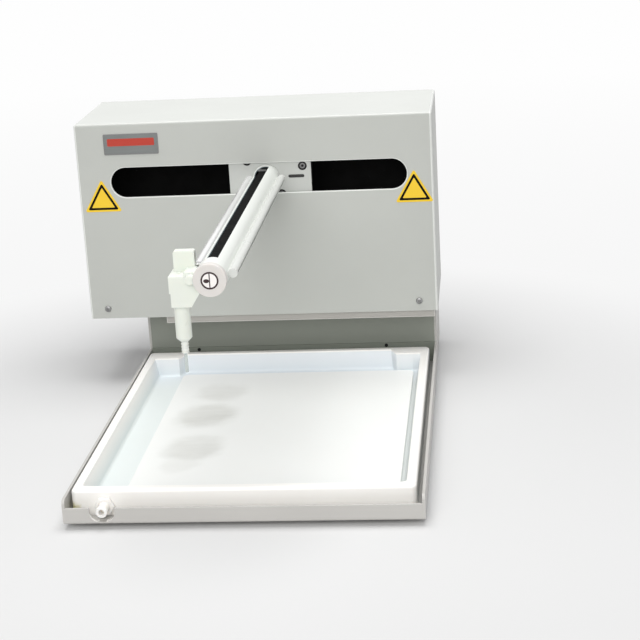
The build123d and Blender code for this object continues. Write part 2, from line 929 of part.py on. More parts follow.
def carriage_plate():
    """The plate that closes the middle of the slot and travels with the arm."""
    half = carriage_plate_height / 2
    plate = block(
        arm_x - plate_left_reach,
        arm_x + plate_right_reach,
        plate_front,
        plate_back,
        slot_z - half,
        slot_z + half,
    )
    y0 = plate_front - overrun
    y1 = plate_back + overrun
    plate -= rod_y(tube_radius, y0, y1, arm_x, slot_z)
    plate -= rod_y(arm_shaft_radius, y0, y1, arm_shaft_x, arm_shaft_z)
    plate -= shaft_seat(y0, y1)
    slit_place = Pos(arm_x + plate_slit_offset, slot_z + plate_slit_rise)
    slit = slit_place * SlotOverall(plate_slit_length, plate_slit_height)
    plate -= panel_xz(slit, y0, y1)
    for x, z in carriage_screw_places():
        plate -= rod_y(flush_head_radius, y0, y1, x, z)
    return plate


def carriage_screws():
    """Flush screws that hold the plate to the carriage block."""
    screws = []
    for x, z in carriage_screw_places():
        head = rod_y(flush_head_radius, plate_front, plate_back, x, z)
        shank = rod_y(screw_radius, plate_back, plate_back + flush_screw_length, x, z)
        recess = rod_y(screw_recess_radius, plate_front, plate_front + screw_recess_depth, x, z)
        screws.append(head + shank - recess)
    return Compound(screws)


def carriage_block():
    """Front wall that holds the arm, two cheeks, and the rear slab that runs on the shafts."""
    half = carriage_wall_height / 2
    wall = block(
        arm_x - carriage_left_reach,
        arm_x + carriage_right_reach,
        plate_back,
        carriage_wall_back,
        slot_z - half,
        slot_z + half,
    )
    left_cheek = block(
        arm_x - carriage_left_reach,
        arm_x - carriage_left_reach + cheek_thickness,
        carriage_wall_back,
        slab_front_y,
        slot_z - half,
        slot_z + half,
    )
    motor_cheek = block(
        arm_x + motor_cheek_inset,
        arm_x + motor_cheek_inset + motor_cheek_thickness,
        carriage_wall_back,
        slab_front_y,
        slot_z - half,
        slot_z + half,
    )
    slab = block(
        arm_x - slab_half_width,
        arm_x + slab_half_width,
        slab_front_y,
        slab_back_y,
        slot_z - slab_height / 2,
        slot_z + slab_height / 2,
    )
    body = wall + left_cheek + motor_cheek + slab
    y0 = plate_back - overrun
    y1 = carriage_wall_back + overrun
    body -= rod_y(tube_radius, y0, y1, arm_x, slot_z)
    body -= rod_y(arm_shaft_radius, y0, y1, arm_shaft_x, arm_shaft_z)
    body -= shaft_seat(y0, y1)
    reach = slab_half_width + overrun
    for rise in (-shaft_spread, shaft_spread):
        body -= rod_x(bush_outer_radius, arm_x - reach, arm_x + reach, shaft_y, slot_z + rise)
    for x, z in carriage_screw_places():
        body -= rod_y(screw_radius, plate_back - overrun, plate_back + flush_screw_length, x, z)
    hole_start = arm_x + motor_cheek_inset - overrun
    hole_end = arm_x + motor_cheek_inset + motor_cheek_thickness + overrun
    return body - rod_x(arm_pulley_pin_radius + moving_gap, hole_start, hole_end, arm_drive_y, slot_z)


def carriage_bush(start, way, z):
    """A flanged bush pushed into the slab from one side."""
    flange_end = start + way * bush_flange_thickness
    tail_end = start - way * bush_length
    bush = rod_x(bush_outer_radius, tail_end, start, shaft_y, z)
    bush += rod_x(bush_flange_radius, start, flange_end, shaft_y, z)
    bore = shaft_radius + running_gap
    return bush - rod_x(bore, tail_end - way * overrun, flange_end + way * overrun, shaft_y, z)


def carriage_bushes():
    """Two bushes on each shaft, one from each side of the slab."""
    bushes = []
    for rise in (-shaft_spread, shaft_spread):
        for way in (-1, 1):
            bushes.append(carriage_bush(arm_x + way * slab_half_width, way, slot_z + rise))
    return Compound(bushes)


def belt_clamp():
    """Two jaws behind the slab, above and below the belt's upper run."""
    run_low = slot_z + belt_inner_radius
    run_high = slot_z + belt_outer_radius
    belt_front = belt_y - belt_width / 2
    x0 = arm_x - clamp_half_length
    x1 = arm_x + clamp_half_length
    jaw_low = run_low - clamp_belt_gap - clamp_jaw
    jaw_high = run_high + clamp_belt_gap + clamp_jaw
    body = block(x0, x1, slab_back_y, belt_y + belt_width / 2, jaw_low, jaw_high)
    return body - block(
        x0 - overrun,
        x1 + overrun,
        belt_front - moving_gap,
        belt_y + belt_width / 2 + overrun,
        run_low - clamp_belt_gap,
        run_high + clamp_belt_gap,
    )


def home_flag():
    """The tab on the slab's left side that enters the sensor."""
    x1 = arm_x - slab_half_width
    z = slot_z + flag_rise
    half = flag_thickness / 2
    return block(x1 - flag_length, x1, slab_front_y, slab_front_y + flag_width, z - half, z + half)


def home_sensor():
    """A fork-shaped light gate on the left bracket."""
    z = slot_z + flag_rise
    y0 = slab_front_y - sensor_width / 2
    y1 = y0 + 2 * sensor_width
    half = sensor_gap / 2 + sensor_arm
    fork = block(bracket_inner_left, bracket_inner_left + sensor_reach, y0, y1, z - half, z + half)
    return fork - block(
        bracket_inner_left + sensor_arm,
        bracket_inner_left + sensor_reach + overrun,
        y0 - overrun,
        y1 + overrun,
        z - sensor_gap / 2,
        z + sensor_gap / 2,
    )


def wedge_sector(radius, start_angle, end_angle, y0, y1):
    """The sector of a disc about the arm's axis, between two angles, made solid along Y."""
    far = 2 * radius
    middle_angle = (start_angle + end_angle) / 2
    points = [(arm_x, slot_z)]
    for angle in (start_angle, middle_angle, end_angle):
        turn = math.radians(angle)
        points.append((arm_x + far * math.cos(turn), slot_z + far * math.sin(turn)))
    return outline_xz(points, y0, y1)


def opening_start_angle():
    """Where the tube's opening starts, near its top, in degrees from +X."""
    return math.degrees(math.acos(opening_right / tube_radius))


def shaft_seat(y0, y1):
    """The ridge along the tube's left side that the guide shaft is screwed to."""
    x0 = arm_x - tube_radius - seat_depth
    x1 = arm_x - tube_radius + tube_wall / 2
    return block(x0, x1, y0, y1, arm_shaft_z - seat_height / 2, arm_shaft_z + seat_height / 2)


def arm_tube():
    """The arm's white tube, open along its upper left for the belt, with the shaft's seat."""
    inner = tube_radius - tube_wall
    tube = rod_y(tube_radius, tube_front, carriage_wall_back, arm_x, slot_z)
    tube -= rod_y(inner, tube_front - overrun, carriage_wall_back + overrun, arm_x, slot_z)
    opening_back = plate_front - opening_rear_gap
    start = opening_start_angle()
    tube -= wedge_sector(tube_radius, start, opening_end_angle, tube_front - overrun, opening_back)
    tube += shaft_seat(tube_front, carriage_wall_back)
    shaft_start = tube_front - overrun
    shaft_end = carriage_wall_back + overrun
    return tube - rod_y(arm_shaft_radius, shaft_start, shaft_end, arm_shaft_x, arm_shaft_z)


def arm_shaft():
    """The polished shaft that the head slides on."""
    return rod_y(arm_shaft_radius, tube_front, carriage_wall_back, arm_shaft_x, arm_shaft_z)


def tubing_rail():
    """The white channel on the arm's right side that carries the tubing."""
    x0 = arm_x + tube_radius - tube_wall
    x1 = arm_x + tube_radius + rail_width
    z = slot_z + rail_rise
    y0 = arm_front + rail_front_gap
    y1 = plate_front - rail_rear_gap
    rail = block(x0, x1, y0, y1, z - rail_height / 2, z + rail_height / 2)
    outer_edges = edges_near(rail, Axis.Y, lambda c: close_to(c.X, x1))
    rail = fillet(outer_edges, rail_edge_radius)
    rail -= rod_y(tube_radius, y0 - overrun, y1 + overrun, arm_x, slot_z)
    bore_x = arm_x + tube_radius + rail_width / 2
    bore_start = y0 + rail_front_wall
    rail -= rod_y(rail_bore_radius, bore_start, y1 + overrun, bore_x, z)
    slit_low = z - rail_slit / 2
    return rail - block(bore_x, x1 + overrun, bore_start, y1 + overrun, slit_low, slit_low + rail_slit)


def end_cap():
    """The round cap on the arm's end, with a shallow seat for its label."""
    cap = rod_y(cap_radius, arm_front, tube_front, arm_x, slot_z)
    rim = cap.faces().sort_by(Axis.Y)[0].edges()
    cap = fillet(rim, cap_edge_radius)
    return cap - rod_y(label_radius, arm_front - overrun, arm_front + label_thickness, arm_x, slot_z)


def cap_label():
    """The round label in the cap's seat."""
    return rod_y(label_radius, arm_front, arm_front + label_thickness, arm_x, slot_z)


def idler_block():
    """The plug in the arm's end that holds the front pulley's pin."""
    y1 = tube_front + idler_block_length
    inner = tube_radius - tube_wall
    plug = rod_y(inner, tube_front, y1, arm_x, slot_z)
    collar = rod_y(tube_radius, tube_front, y1, arm_x, slot_z)
    plug += collar & wedge_sector(tube_radius, opening_start_angle(), opening_end_angle, tube_front, y1)
    half = pulley_half_width() + moving_gap
    room = max(arm_pulley_flange_radius, belt_outer_radius) + block_roof_gap
    plug -= block(
        arm_belt_x - half,
        arm_belt_x + half,
        arm_idler_y - room,
        y1 + overrun,
        slot_z - room,
        slot_z + room,
    )
    pin_left, pin_right = arm_idler_pin_ends()
    return plug - rod_x(arm_pulley_pin_radius, pin_left, pin_right, arm_idler_y, slot_z)


def arm_idler_pin_ends():
    """The X of both ends of the pin across the idler block."""
    half = pulley_half_width() + moving_gap + tube_wall
    return (arm_belt_x - half, arm_belt_x + half)


def arm_idler_pin():
    """The pin across the idler block."""
    pin_left, pin_right = arm_idler_pin_ends()
    return rod_x(arm_pulley_pin_radius, pin_left, pin_right, arm_idler_y, slot_z)


def arm_idler_pulley():
    """The pulley in the arm's front end."""
    wheel = pulley(arm_pulley_flange_radius, arm_pulley_pin_radius + running_gap)
    return Pos(arm_belt_x, arm_idler_y, slot_z) * Rot(0, 90, 0) * wheel


def arm_drive_pulley():
    """The pulley behind the arm, on the arm motor's shaft."""
    wheel = pulley(arm_pulley_flange_radius, arm_pulley_pin_radius)
    return Pos(arm_belt_x, arm_drive_y, slot_z) * Rot(0, 90, 0) * wheel


def arm_belt():
    """The toothed belt inside the arm that pulls the head."""
    middle = (arm_idler_y + arm_drive_y) / 2
    loop = belt_loop(arm_drive_y - arm_idler_y)
    return Pos(arm_belt_x, middle, slot_z) * Rot(0, 0, 90) * Rot(90, 0, 0) * loop


def arm_motor():
    """The round stepping motor on the carriage's cheek."""
    x0 = arm_x + motor_cheek_inset + motor_cheek_thickness
    x1 = x0 + arm_motor_length
    body = rod_x(arm_motor_radius, x0, x1, arm_drive_y, slot_z)
    body = chamfer(body.edges().filter_by(GeomType.CIRCLE), arm_motor_edge)
    socket_radius = arm_pulley_pin_radius + running_gap
    return body - rod_x(socket_radius, x0 - overrun, x0 + motor_shaft_socket, arm_drive_y, slot_z)


def arm_motor_shaft():
    """The arm motor's shaft, which carries the drive pulley."""
    x0 = arm_belt_x - pulley_half_width()
    x1 = arm_x + motor_cheek_inset + motor_cheek_thickness + motor_shaft_socket - moving_gap
    return rod_x(arm_pulley_pin_radius, x0, x1, arm_drive_y, slot_z)


def sleeve_top():
    """The height of the sleeve that covers the guide shaft."""
    return arm_shaft_z + arm_shaft_radius + sleeve_wall


def head_carriage():
    """Clamp body with the sleeve on the guide shaft, the top block, the neck and its gusset."""
    clamp = block(
        arm_x - clamp_outer_reach,
        arm_x - clamp_inner_reach,
        head_front,
        head_back,
        slot_z - clamp_bottom,
        slot_z + clamp_top,
    )
    sleeve = block(
        arm_shaft_x - arm_shaft_radius - sleeve_wall,
        arm_shaft_x + arm_shaft_radius,
        head_front,
        head_back,
        slot_z - clamp_bottom,
        sleeve_top(),
    )
    sleeve = fillet(edges_near(sleeve, Axis.Y, lambda c: close_to(c.Z, sleeve_top())), sleeve_edge_radius)
    neck = block(
        arm_x - neck_outer,
        arm_x - neck_inner,
        head_front,
        head_front + neck_depth,
        slot_z - neck_bottom,
        slot_z - clamp_bottom,
    )
    gusset_points = (
        (arm_x - neck_inner, slot_z - clamp_bottom),
        (arm_x - clamp_inner_reach, slot_z - clamp_bottom),
        (arm_x - neck_inner, slot_z - neck_bottom),
    )
    gusset = outline_xz(gusset_points, head_front, head_front + neck_depth)
    top_front = head_front + top_block_setback
    top_block = block(
        arm_x - top_block_outer,
        arm_x - top_block_inner,
        top_front,
        top_front + top_block_depth,
        slot_z + clamp_top,
        slot_z + top_block_top,
    )
    top_edges = edges_near(top_block, Axis.Y, lambda c: close_to(c.Z, slot_z + top_block_top))
    top_block = fillet(top_edges, top_block_radius)
    body = clamp + sleeve + neck + gusset + top_block
    y0 = head_front - overrun
    y1 = head_back + overrun
    body -= rod_y(arm_shaft_radius + running_gap, y0, y1, arm_shaft_x, arm_shaft_z)
    body -= rod_y(tube_radius + moving_gap, y0, y1, arm_x, slot_z)
    groove_low = arm_shaft_z - seat_height / 2 - moving_gap
    groove_high = arm_shaft_z + seat_height / 2 + moving_gap
    body -= block(arm_shaft_x, arm_x - tube_radius, y0, y1, groove_low, groove_high)
    room_top = slot_z - barrel_top + barrel_rise_room
    body -= rod_z(barrel_radius + running_gap, slot_z - neck_bottom - overrun, room_top, barrel_x, barrel_y)
    body -= rod_z(feed_hole_radius, room_top - overrun, slot_z + clamp_top + overrun, barrel_x, barrel_y)
    screw_z = slot_z - neck_bottom + grip_screw_rise
    return body - rod_y(grip_screw_radius, barrel_y, head_front + neck_depth + overrun, barrel_x, screw_z)


def grip_screw():
    """The small knobbed screw behind the neck that holds the barrel at its height."""
    screw_z = slot_z - neck_bottom + grip_screw_rise
    tip_y = barrel_y + barrel_radius + running_gap
    face = head_front + neck_depth
    screw = rod_y(grip_screw_radius, tip_y, face + grip_knob_length, barrel_x, screw_z)
    return screw + rod_y(grip_knob_radius, face, face + grip_knob_length, barrel_x, screw_z)


def belt_clip():
    """The steel clip from the head's sleeve, under the belt's upper run and round its far edge."""
    y1 = head_back
    y0 = y1 - clip_depth
    x0 = arm_x - top_block_inner
    hook_left = arm_belt_x + belt_width / 2 + clip_belt_gap
    hook_right = hook_left + clip_thickness
    plate_top = slot_z + belt_inner_radius - clip_belt_gap
    plate = block(x0, hook_right, y0, y1, plate_top - clip_thickness, plate_top)
    foot = block(x0, arm_shaft_x + arm_shaft_radius - sleeve_edge_radius, y0, y1, sleeve_top(), plate_top)
    hook = block(hook_left, hook_right, y0, y1, plate_top - clip_thickness, slot_z + belt_outer_radius)
    return plate + foot + hook


def dispenser_barrel():
    """The round body that slides up and down in the head's clamp."""
    low = slot_z - barrel_bottom
    high = slot_z - barrel_top
    barrel = rod_z(barrel_radius, low, high, barrel_x, barrel_y)
    barrel = chamfer(barrel.faces().sort_by(Axis.Z)[0].edges(), barrel_chamfer)
    barrel -= rod_z(barrel_bore_radius, low - overrun, high + overrun, barrel_x, barrel_y)
    return barrel - rod_z(tip_radius, low - overrun, low + barrel_socket_depth, barrel_x, barrel_y)


def dispenser_tip():
    """The ridged tip screwed into the barrel, with the outlet tube's hole."""
    low = slot_z - barrel_bottom - tip_length
    high = slot_z - barrel_bottom + barrel_socket_depth
    tip = rod_z(tip_radius, low, high, barrel_x, barrel_y)
    pitch = tip_length / (2 * tip_ridge_count)
    for ridge in range(tip_ridge_count):
        middle = low + pitch * (2 * ridge + 1)
        cutter = rod_z(tip_radius + overrun, middle - pitch / 2, middle + pitch / 2, barrel_x, barrel_y)
        tip -= cutter - rod_z(tip_radius - tip_ridge, middle - pitch, middle + pitch, barrel_x, barrel_y)
    return tip - rod_z(outlet_radius, low - overrun, high + overrun, barrel_x, barrel_y)


def outlet_tube():
    """The thin tube that the drops leave from."""
    low = slot_z - barrel_bottom - outlet_length
    high = slot_z - barrel_bottom + barrel_socket_depth
    tube = rod_z(outlet_radius, low, high, barrel_x, barrel_y)
    return tube - rod_z(outlet_bore_radius, low - overrun, high + overrun, barrel_x, barrel_y)


def board_back():
    """The Y of the circuit board's rear edge."""
    return back_y - cover_sheet - board_back_gap


def circuit_board():
    """The control board over the housing's floor."""
    x1 = board_left + board_width
    y1 = board_back()
    board = block(board_left, x1, y1 - board_depth, y1, board_z, board_z + board_thickness)
    for x, y in standoff_places():
        board -= rod_z(screw_radius, board_z - overrun, board_z + board_thickness + overrun, x, y)
    return board


def standoff_places():
    """X and Y of the board's four standoffs."""
    y1 = board_back()
    xs = (board_left + standoff_inset, board_left + board_width - standoff_inset)
    ys = (y1 - board_depth + standoff_inset, y1 - standoff_inset)
    return [(x, y) for x in xs for y in ys]


def board_standoffs():
    """Four standoffs, each with a stud through the board."""
    posts = []
    for x, y in standoff_places():
        post = rod_z(standoff_radius, chassis_top, board_z, x, y)
        posts.append(post + rod_z(screw_radius, board_z, board_z + 2 * board_thickness, x, y))
    return Compound(posts)


def board_parts():
    """The larger parts soldered on the board."""
    base = board_z + board_thickness
    front = board_back() - board_depth
    kinds = (
        (chip_side, chip_side, chip_height, chip_place_shares),
        (driver_width, driver_depth, driver_height, driver_place_shares),
        (capacitor_width, capacitor_depth, capacitor_height, capacitor_place_shares),
    )
    parts = []
    for wide, deep, high, (share_x, share_y) in kinds:
        x0 = board_left + share_x * board_width - wide / 2
        y0 = front + share_y * board_depth - deep / 2
        parts.append(block(x0, x0 + wide, y0, y0 + deep, base, base + high))
    return Compound(parts)


def data_socket():
    """The nine-pin data socket, through the rear panel."""
    low = connector_z - socket_body_height / 2
    high = connector_z + socket_body_height / 2
    x0 = socket_centre - socket_body_width / 2
    x1 = socket_centre + socket_body_width / 2
    body = block(x0, x1, back_y - socket_body_depth, back_y, low, high)
    legs = block(x0, x1, back_y - socket_body_depth, board_back(), board_z + board_thickness, low)
    flange = block(
        socket_centre - socket_flange_width / 2,
        socket_centre + socket_flange_width / 2,
        back_y,
        back_y + socket_flange_thickness,
        connector_z - socket_flange_height / 2,
        connector_z + socket_flange_height / 2,
    )
    shell_outer = Pos(socket_centre, connector_z) * RectangleRounded(
        socket_shell_width, socket_shell_height, socket_shell_corner
    )
    shell = panel_xz(shell_outer, back_y, back_y + rear_proud)
    shell_inner = Pos(socket_centre, connector_z) * RectangleRounded(
        socket_shell_width - 2 * socket_shell_wall,
        socket_shell_height - 2 * socket_shell_wall,
        socket_shell_corner - socket_shell_wall,
    )
    hollow_start = back_y + rear_proud - socket_shell_depth
    return body + legs + flange + shell - panel_xz(shell_inner, hollow_start, back_y + rear_proud + overrun)


def power_inlet():
    """The round low-voltage inlet, through the rear panel."""
    half = inlet_body_side / 2
    low = connector_z - half
    body = block(
        inlet_centre - half,
        inlet_centre + half,
        back_y - inlet_body_depth,
        back_y,
        low,
        connector_z + half,
    )
    face = back_y + inlet_proud
    flange = rod_y(inlet_flange_radius, back_y, face, inlet_centre, connector_z)
    inlet = body + flange
    inlet += block(
        inlet_centre - half,
        inlet_centre + half,
        back_y - inlet_body_depth,
        board_back(),
        board_z + board_thickness,
        low,
    )
    socket_end = face - inlet_socket_depth
    return inlet - rod_y(inlet_socket_radius, socket_end, face + overrun, inlet_centre, connector_z)


def switch_centre_z():
    """The height of the rocker switch's middle."""
    return chassis_top + rear_screw_inset + switch_bezel_height


def switch_body():
    """The switch's frame and box, open at the back for the rocker."""
    z = switch_centre_z()
    bezel = block(
        switch_centre - switch_bezel_width / 2,
        switch_centre + switch_bezel_width / 2,
        back_y,
        back_y + switch_bezel_thickness,
        z - switch_bezel_height / 2,
        z + switch_bezel_height / 2,
    )
    box = block(
        switch_centre - switch_width / 2,
        switch_centre + switch_width / 2,
        back_y - switch_depth,
        back_y,
        z - switch_height / 2,
        z + switch_height / 2,
    )
    hollow = block(
        switch_centre - switch_width / 2 + switch_wall,
        switch_centre + switch_width / 2 - switch_wall,
        back_y - switch_depth + switch_wall,
        back_y + switch_bezel_thickness + overrun,
        z - switch_height / 2 + switch_wall,
        z + switch_height / 2 - switch_wall,
    )
    body = bezel + box - hollow
    pin_hole = rocker_pin_radius + running_gap
    x0 = switch_centre - switch_width / 2
    x1 = switch_centre + switch_width / 2
    return body - rod_x(pin_hole, x0, x1, back_y - rocker_pin_setback, z)


def switch_rocker():
    """The rocker, pressed in at its upper end at rest, with its two pivot pins."""
    z = switch_centre_z()
    half_width = switch_width / 2 - switch_wall - rocker_gap
    pivot_y = back_y - rocker_pin_setback
    swing = math.radians(rocker_tilt)
    half_height = (switch_height / 2 - switch_wall - rocker_gap) * math.cos(swing)
    face = back_y + switch_bezel_thickness - pivot_y
    dip = half_height * math.tan(swing)
    points = (
        (-rocker_thickness / 2, 0),
        (face - dip, half_height - dip / 2),
        (face - dip / 2, 0),
        (face - dip, -half_height + dip / 2),
    )
    profile = outline_yz(points, switch_centre - half_width, switch_centre + half_width)
    rocker = Pos(0, pivot_y, z) * Rot(rocker_tilt, 0, 0) * profile
    pin_half = switch_width / 2
    return rocker + rod_x(rocker_pin_radius, switch_centre - pin_half, switch_centre + pin_half, pivot_y, z)


MAKERS = (
    base_pan,
    rubber_feet,
    spill_tray,
    drain_spout,
    tray_insert,
    recess_wall,
    stop_strip,
    stop_screws,
    cross_beam,
    stand_rear_panel,
    chassis_floor,
    housing_cover,
    cover_screws,
    rear_panel,
    rear_screws,
    name_plate,
    triangle_stickers,
    left_end_bracket,
    right_end_bracket,
    cross_shafts,
    slot_shroud,
    cross_belt,
    cross_drive_pulley,
    cross_idler_pulley,
    cross_idler_pin,
    cross_motor,
    cross_motor_shaft,
    carriage_plate,
    carriage_screws,
    carriage_block,
    carriage_bushes,
    belt_clamp,
    home_flag,
    home_sensor,
    arm_tube,
    arm_shaft,
    tubing_rail,
    end_cap,
    cap_label,
    idler_block,
    arm_idler_pin,
    arm_idler_pulley,
    arm_drive_pulley,
    arm_belt,
    arm_motor,
    arm_motor_shaft,
    head_carriage,
    grip_screw,
    belt_clip,
    dispenser_barrel,
    dispenser_tip,
    outlet_tube,
    circuit_board,
    board_standoffs,
    board_parts,
    data_socket,
    power_inlet,
    switch_body,
    switch_rocker,
)

os.makedirs("parts", exist_ok=True)
for make in MAKERS:
    export_step(make(), "parts/" + make.__name__ + ".step")
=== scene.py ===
import json
import math

import bmesh
import bpy
from mathutils import Matrix, Vector


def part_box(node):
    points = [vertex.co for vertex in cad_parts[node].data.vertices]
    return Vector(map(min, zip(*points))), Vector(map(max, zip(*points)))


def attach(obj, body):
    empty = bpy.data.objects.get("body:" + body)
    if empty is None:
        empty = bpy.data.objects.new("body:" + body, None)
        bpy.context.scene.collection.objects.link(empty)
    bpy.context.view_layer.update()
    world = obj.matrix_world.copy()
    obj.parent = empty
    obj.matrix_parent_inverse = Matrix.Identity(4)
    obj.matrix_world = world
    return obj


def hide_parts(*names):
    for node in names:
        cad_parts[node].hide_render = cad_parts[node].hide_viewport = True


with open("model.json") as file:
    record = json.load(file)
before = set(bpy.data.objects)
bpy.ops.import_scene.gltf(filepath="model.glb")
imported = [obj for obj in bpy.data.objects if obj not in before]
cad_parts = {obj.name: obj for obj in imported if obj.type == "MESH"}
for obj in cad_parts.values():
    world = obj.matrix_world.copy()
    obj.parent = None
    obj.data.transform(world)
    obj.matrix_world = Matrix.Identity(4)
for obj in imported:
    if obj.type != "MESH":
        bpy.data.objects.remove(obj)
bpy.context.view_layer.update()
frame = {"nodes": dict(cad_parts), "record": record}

MM = 0.001

# Camera, fitted to the photograph
IMAGE_SIDE = 640.0
FOCAL_PIXELS = 1700.0
SENSOR_WIDTH = 36.0
CAMERA_TURN = (0.2999, -0.0402, -0.0976)
CAMERA_PLACE = (0.1972118, -1.2847298, 0.4816211)

# Sizes that the pieces share with the CAD part
SCREW_RADIUS = 2.7 * MM
SCREW_HEAD = 1.6 * MM
STOP_SCREW_RADIUS = 1.5 * MM
STOP_SCREW_HEAD = 0.8 * MM
TUBE_RADIUS = 11.0 * MM
BELT_THICKNESS = 1.4 * MM
BELT_PITCH = 2.0 * MM
STICKER_SIDE = 32.0 * MM
STICKER_LINE_SIDE = 26.5 * MM
STICKER_LINE = 1.9 * MM
DRAIN_NUT_LENGTH = 4.0 * MM
DRAIN_STUB_RADIUS = 4.2 * MM
SOCKET_Z = 79.0 * MM
RAIL_BORE = 1.9 * MM
RAIL_HALF_SLIT = 0.7 * MM
RAIL_HALF_WEB = 1.3 * MM
RAIL_CLOSED_END = 4.0 * MM

# How far printed lines stand out from their film, and how deep they reach into it
PRINT_PROUD = 0.03 * MM
PRINT_DEPTH = 0.05 * MM

# How near points count as one or as lying on a face, and which angles count as flat or as sharp
WELD = 0.002 * MM
ON_FACE = 0.02 * MM
FLAT_ANGLE = math.radians(0.4)
SHARP_ANGLE = math.radians(32.0)
TINY = 1e-6

# How far beyond the slot its front rim is looked for, inward from the cover's sides and past the plate
SLOT_SIDE_MARGIN = 8.0 * MM
SLOT_EDGE_MARGIN = 12.0 * MM

# The floor's half side, how far from the part its shadow shows, and how it fades away from a plane
FLOOR_HALF = 9.0
SHADOW_END = (0.25, 0.5)
FADE_PLANE = -1.0
FADE_MIDDLE = (0.65, 1.1)
FADE_FAR = (1.1, 2.7)

# Light from all round, and lamps with their name, place, target, width, power and colour
AMBIENT = 0.36
AMBIENT_COLOUR = (0.985, 0.993, 1.0, 1)
LAMPS = (
    ("front", (-0.05, -1.7, 1.0), (0.0, -0.02, 0.1), 1.5, 19.5, (1.0, 0.993, 0.982)),
    ("top", (0.05, 0.04, 1.4), (0.0, -0.03, 0.05), 1.1, 13.0, (1.0, 1.0, 1.0)),
)

# Nodes that are only rounded off, with the width in millimetres and the segments
ROUNDED = (
    ("stop_strip", 0.3, 2),
    ("carriage_plate", 0.25, 2),
    ("end_cap", 0.35, 2),
    ("idler_block", 0.25, 2),
    ("head_carriage", 0.45, 3),
    ("dispenser_barrel", 0.35, 3),
    ("dispenser_tip", 0.08, 2),
    ("belt_clip", 0.15, 2),
    ("rear_panel", 0.25, 2),
    ("stand_rear_panel", 0.3, 2),
    ("recess_wall", 0.3, 2),
    ("switch_body", 0.4, 2),
    ("switch_rocker", 0.5, 3),
    ("data_socket", 0.15, 2),
    ("power_inlet", 0.3, 2),
    ("rubber_feet", 0.5, 2),
    ("carriage_block", 0.4, 2),
    ("arm_motor", 0.3, 2),
    ("cross_motor", 0.4, 2),
    ("chassis_floor", 0.3, 2),
    ("left_end_bracket", 0.3, 2),
    ("right_end_bracket", 0.3, 2),
    ("board_parts", 0.3, 2),
)

# A screw head from its washer face to its recess, as shares of its radius and height
SCREW_HEAD_SHARES = ((0.9, 0.0), (1.0, 0.1), (1.0, 0.45), (0.9, 0.78), (0.72, 0.94), (0.58, 1.0))

MATERIALS = {}


class Graph:
    """A material and short calls that build its nodes."""

    def __init__(self, name):
        self.name = name
        self.material = bpy.data.materials.new(name)
        self.material.use_nodes = True
        self.tree = self.material.node_tree
        self.tree.nodes.clear()
        self.output = self.tree.nodes.new("ShaderNodeOutputMaterial")
        self.shader = self.tree.nodes.new("ShaderNodeBsdfPrincipled")
        self.tree.links.new(self.shader.outputs["BSDF"], self.output.inputs["Surface"])
        self.place = self.tree.nodes.new("ShaderNodeTexCoord").outputs["Object"]

    def node(self, kind, **values):
        made = self.tree.nodes.new(kind)
        for key, value in values.items():
            setattr(made, key, value)
        return made

    def feed(self, node, **inputs):
        """Sets or links a node's inputs by name, with _ for a space."""
        for key, value in inputs.items():
            self.feed_one(node.inputs[key.replace("_", " ")], value)

    def feed_one(self, socket, value):
        if isinstance(value, bpy.types.NodeSocket):
            self.tree.links.new(value, socket)
        else:
            socket.default_value = value

    def stretched(self, stretch):
        if stretch == (1, 1, 1):
            return self.place
        mapping = self.node("ShaderNodeMapping")
        self.feed(mapping, Vector=self.place, Scale=stretch)
        return mapping.outputs["Vector"]

    def noise(self, scale, detail=3.0, roughness=0.55, stretch=(1, 1, 1)):
        made = self.node("ShaderNodeTexNoise")
        self.feed(made, Vector=self.stretched(stretch), Scale=scale, Detail=detail, Roughness=roughness)
        return made.outputs["Fac"]

    def cells(self, scale, feature="F1"):
        made = self.node("ShaderNodeTexVoronoi", feature=feature)
        self.feed(made, Vector=self.place, Scale=scale)
        return made.outputs["Distance"]

    def spread(self, value, low, high, to_low=0.0, to_high=1.0, kind="LINEAR"):
        made = self.node("ShaderNodeMapRange", interpolation_type=kind)
        self.feed(made, Value=value, From_Min=low, From_Max=high, To_Min=to_low, To_Max=to_high)
        return made.outputs["Result"]

    def combine(self, operation, first, second):
        made = self.node("ShaderNodeMath", operation=operation)
        self.feed_one(made.inputs[0], first)
        self.feed_one(made.inputs[1], second)
        return made.outputs["Value"]

    def blend(self, factor, first, second):
        made = self.node("ShaderNodeMix", data_type="RGBA")
        self.feed_one(made.inputs[0], factor)
        self.feed_one(made.inputs[6], first if isinstance(first, bpy.types.NodeSocket) else (*first, 1))
        self.feed_one(made.inputs[7], second if isinstance(second, bpy.types.NodeSocket) else (*second, 1))
        return made.outputs[2]

    def distance_to(self, point, squash=(1, 1, 1)):
        shift = self.node("ShaderNodeVectorMath", operation="SUBTRACT")
        self.feed_one(shift.inputs[0], self.place)
        self.feed_one(shift.inputs[1], point)
        scale = self.node("ShaderNodeVectorMath", operation="MULTIPLY")
        self.feed_one(scale.inputs[0], shift.outputs[0])
        self.feed_one(scale.inputs[1], squash)
        length = self.node("ShaderNodeVectorMath", operation="LENGTH")
        self.feed_one(length.inputs[0], scale.outputs[0])
        return length.outputs["Value"]

    def coordinates(self):
        """The place in X, Y and Z."""
        split = self.node("ShaderNodeSeparateXYZ")
        self.feed_one(split.inputs["Vector"], self.place)
        return tuple(split.outputs)

    def bump(self, height, depth):
        made = self.node("ShaderNodeBump")
        self.feed(made, Height=height, Distance=depth)
        return made.outputs["Normal"]

    def finish(self, **inputs):
        """Sets the shader's inputs and keeps the material under its name."""
        colour = inputs.get("Base_Color")
        if isinstance(colour, tuple) and len(colour) == 3:
            inputs["Base_Color"] = (*colour, 1)
        self.feed(self.shader, **inputs)
        MATERIALS[self.name] = self.material


def grey(value):
    """A neutral colour from a 0 to 255 screen value."""
    return screen(value, value, value)


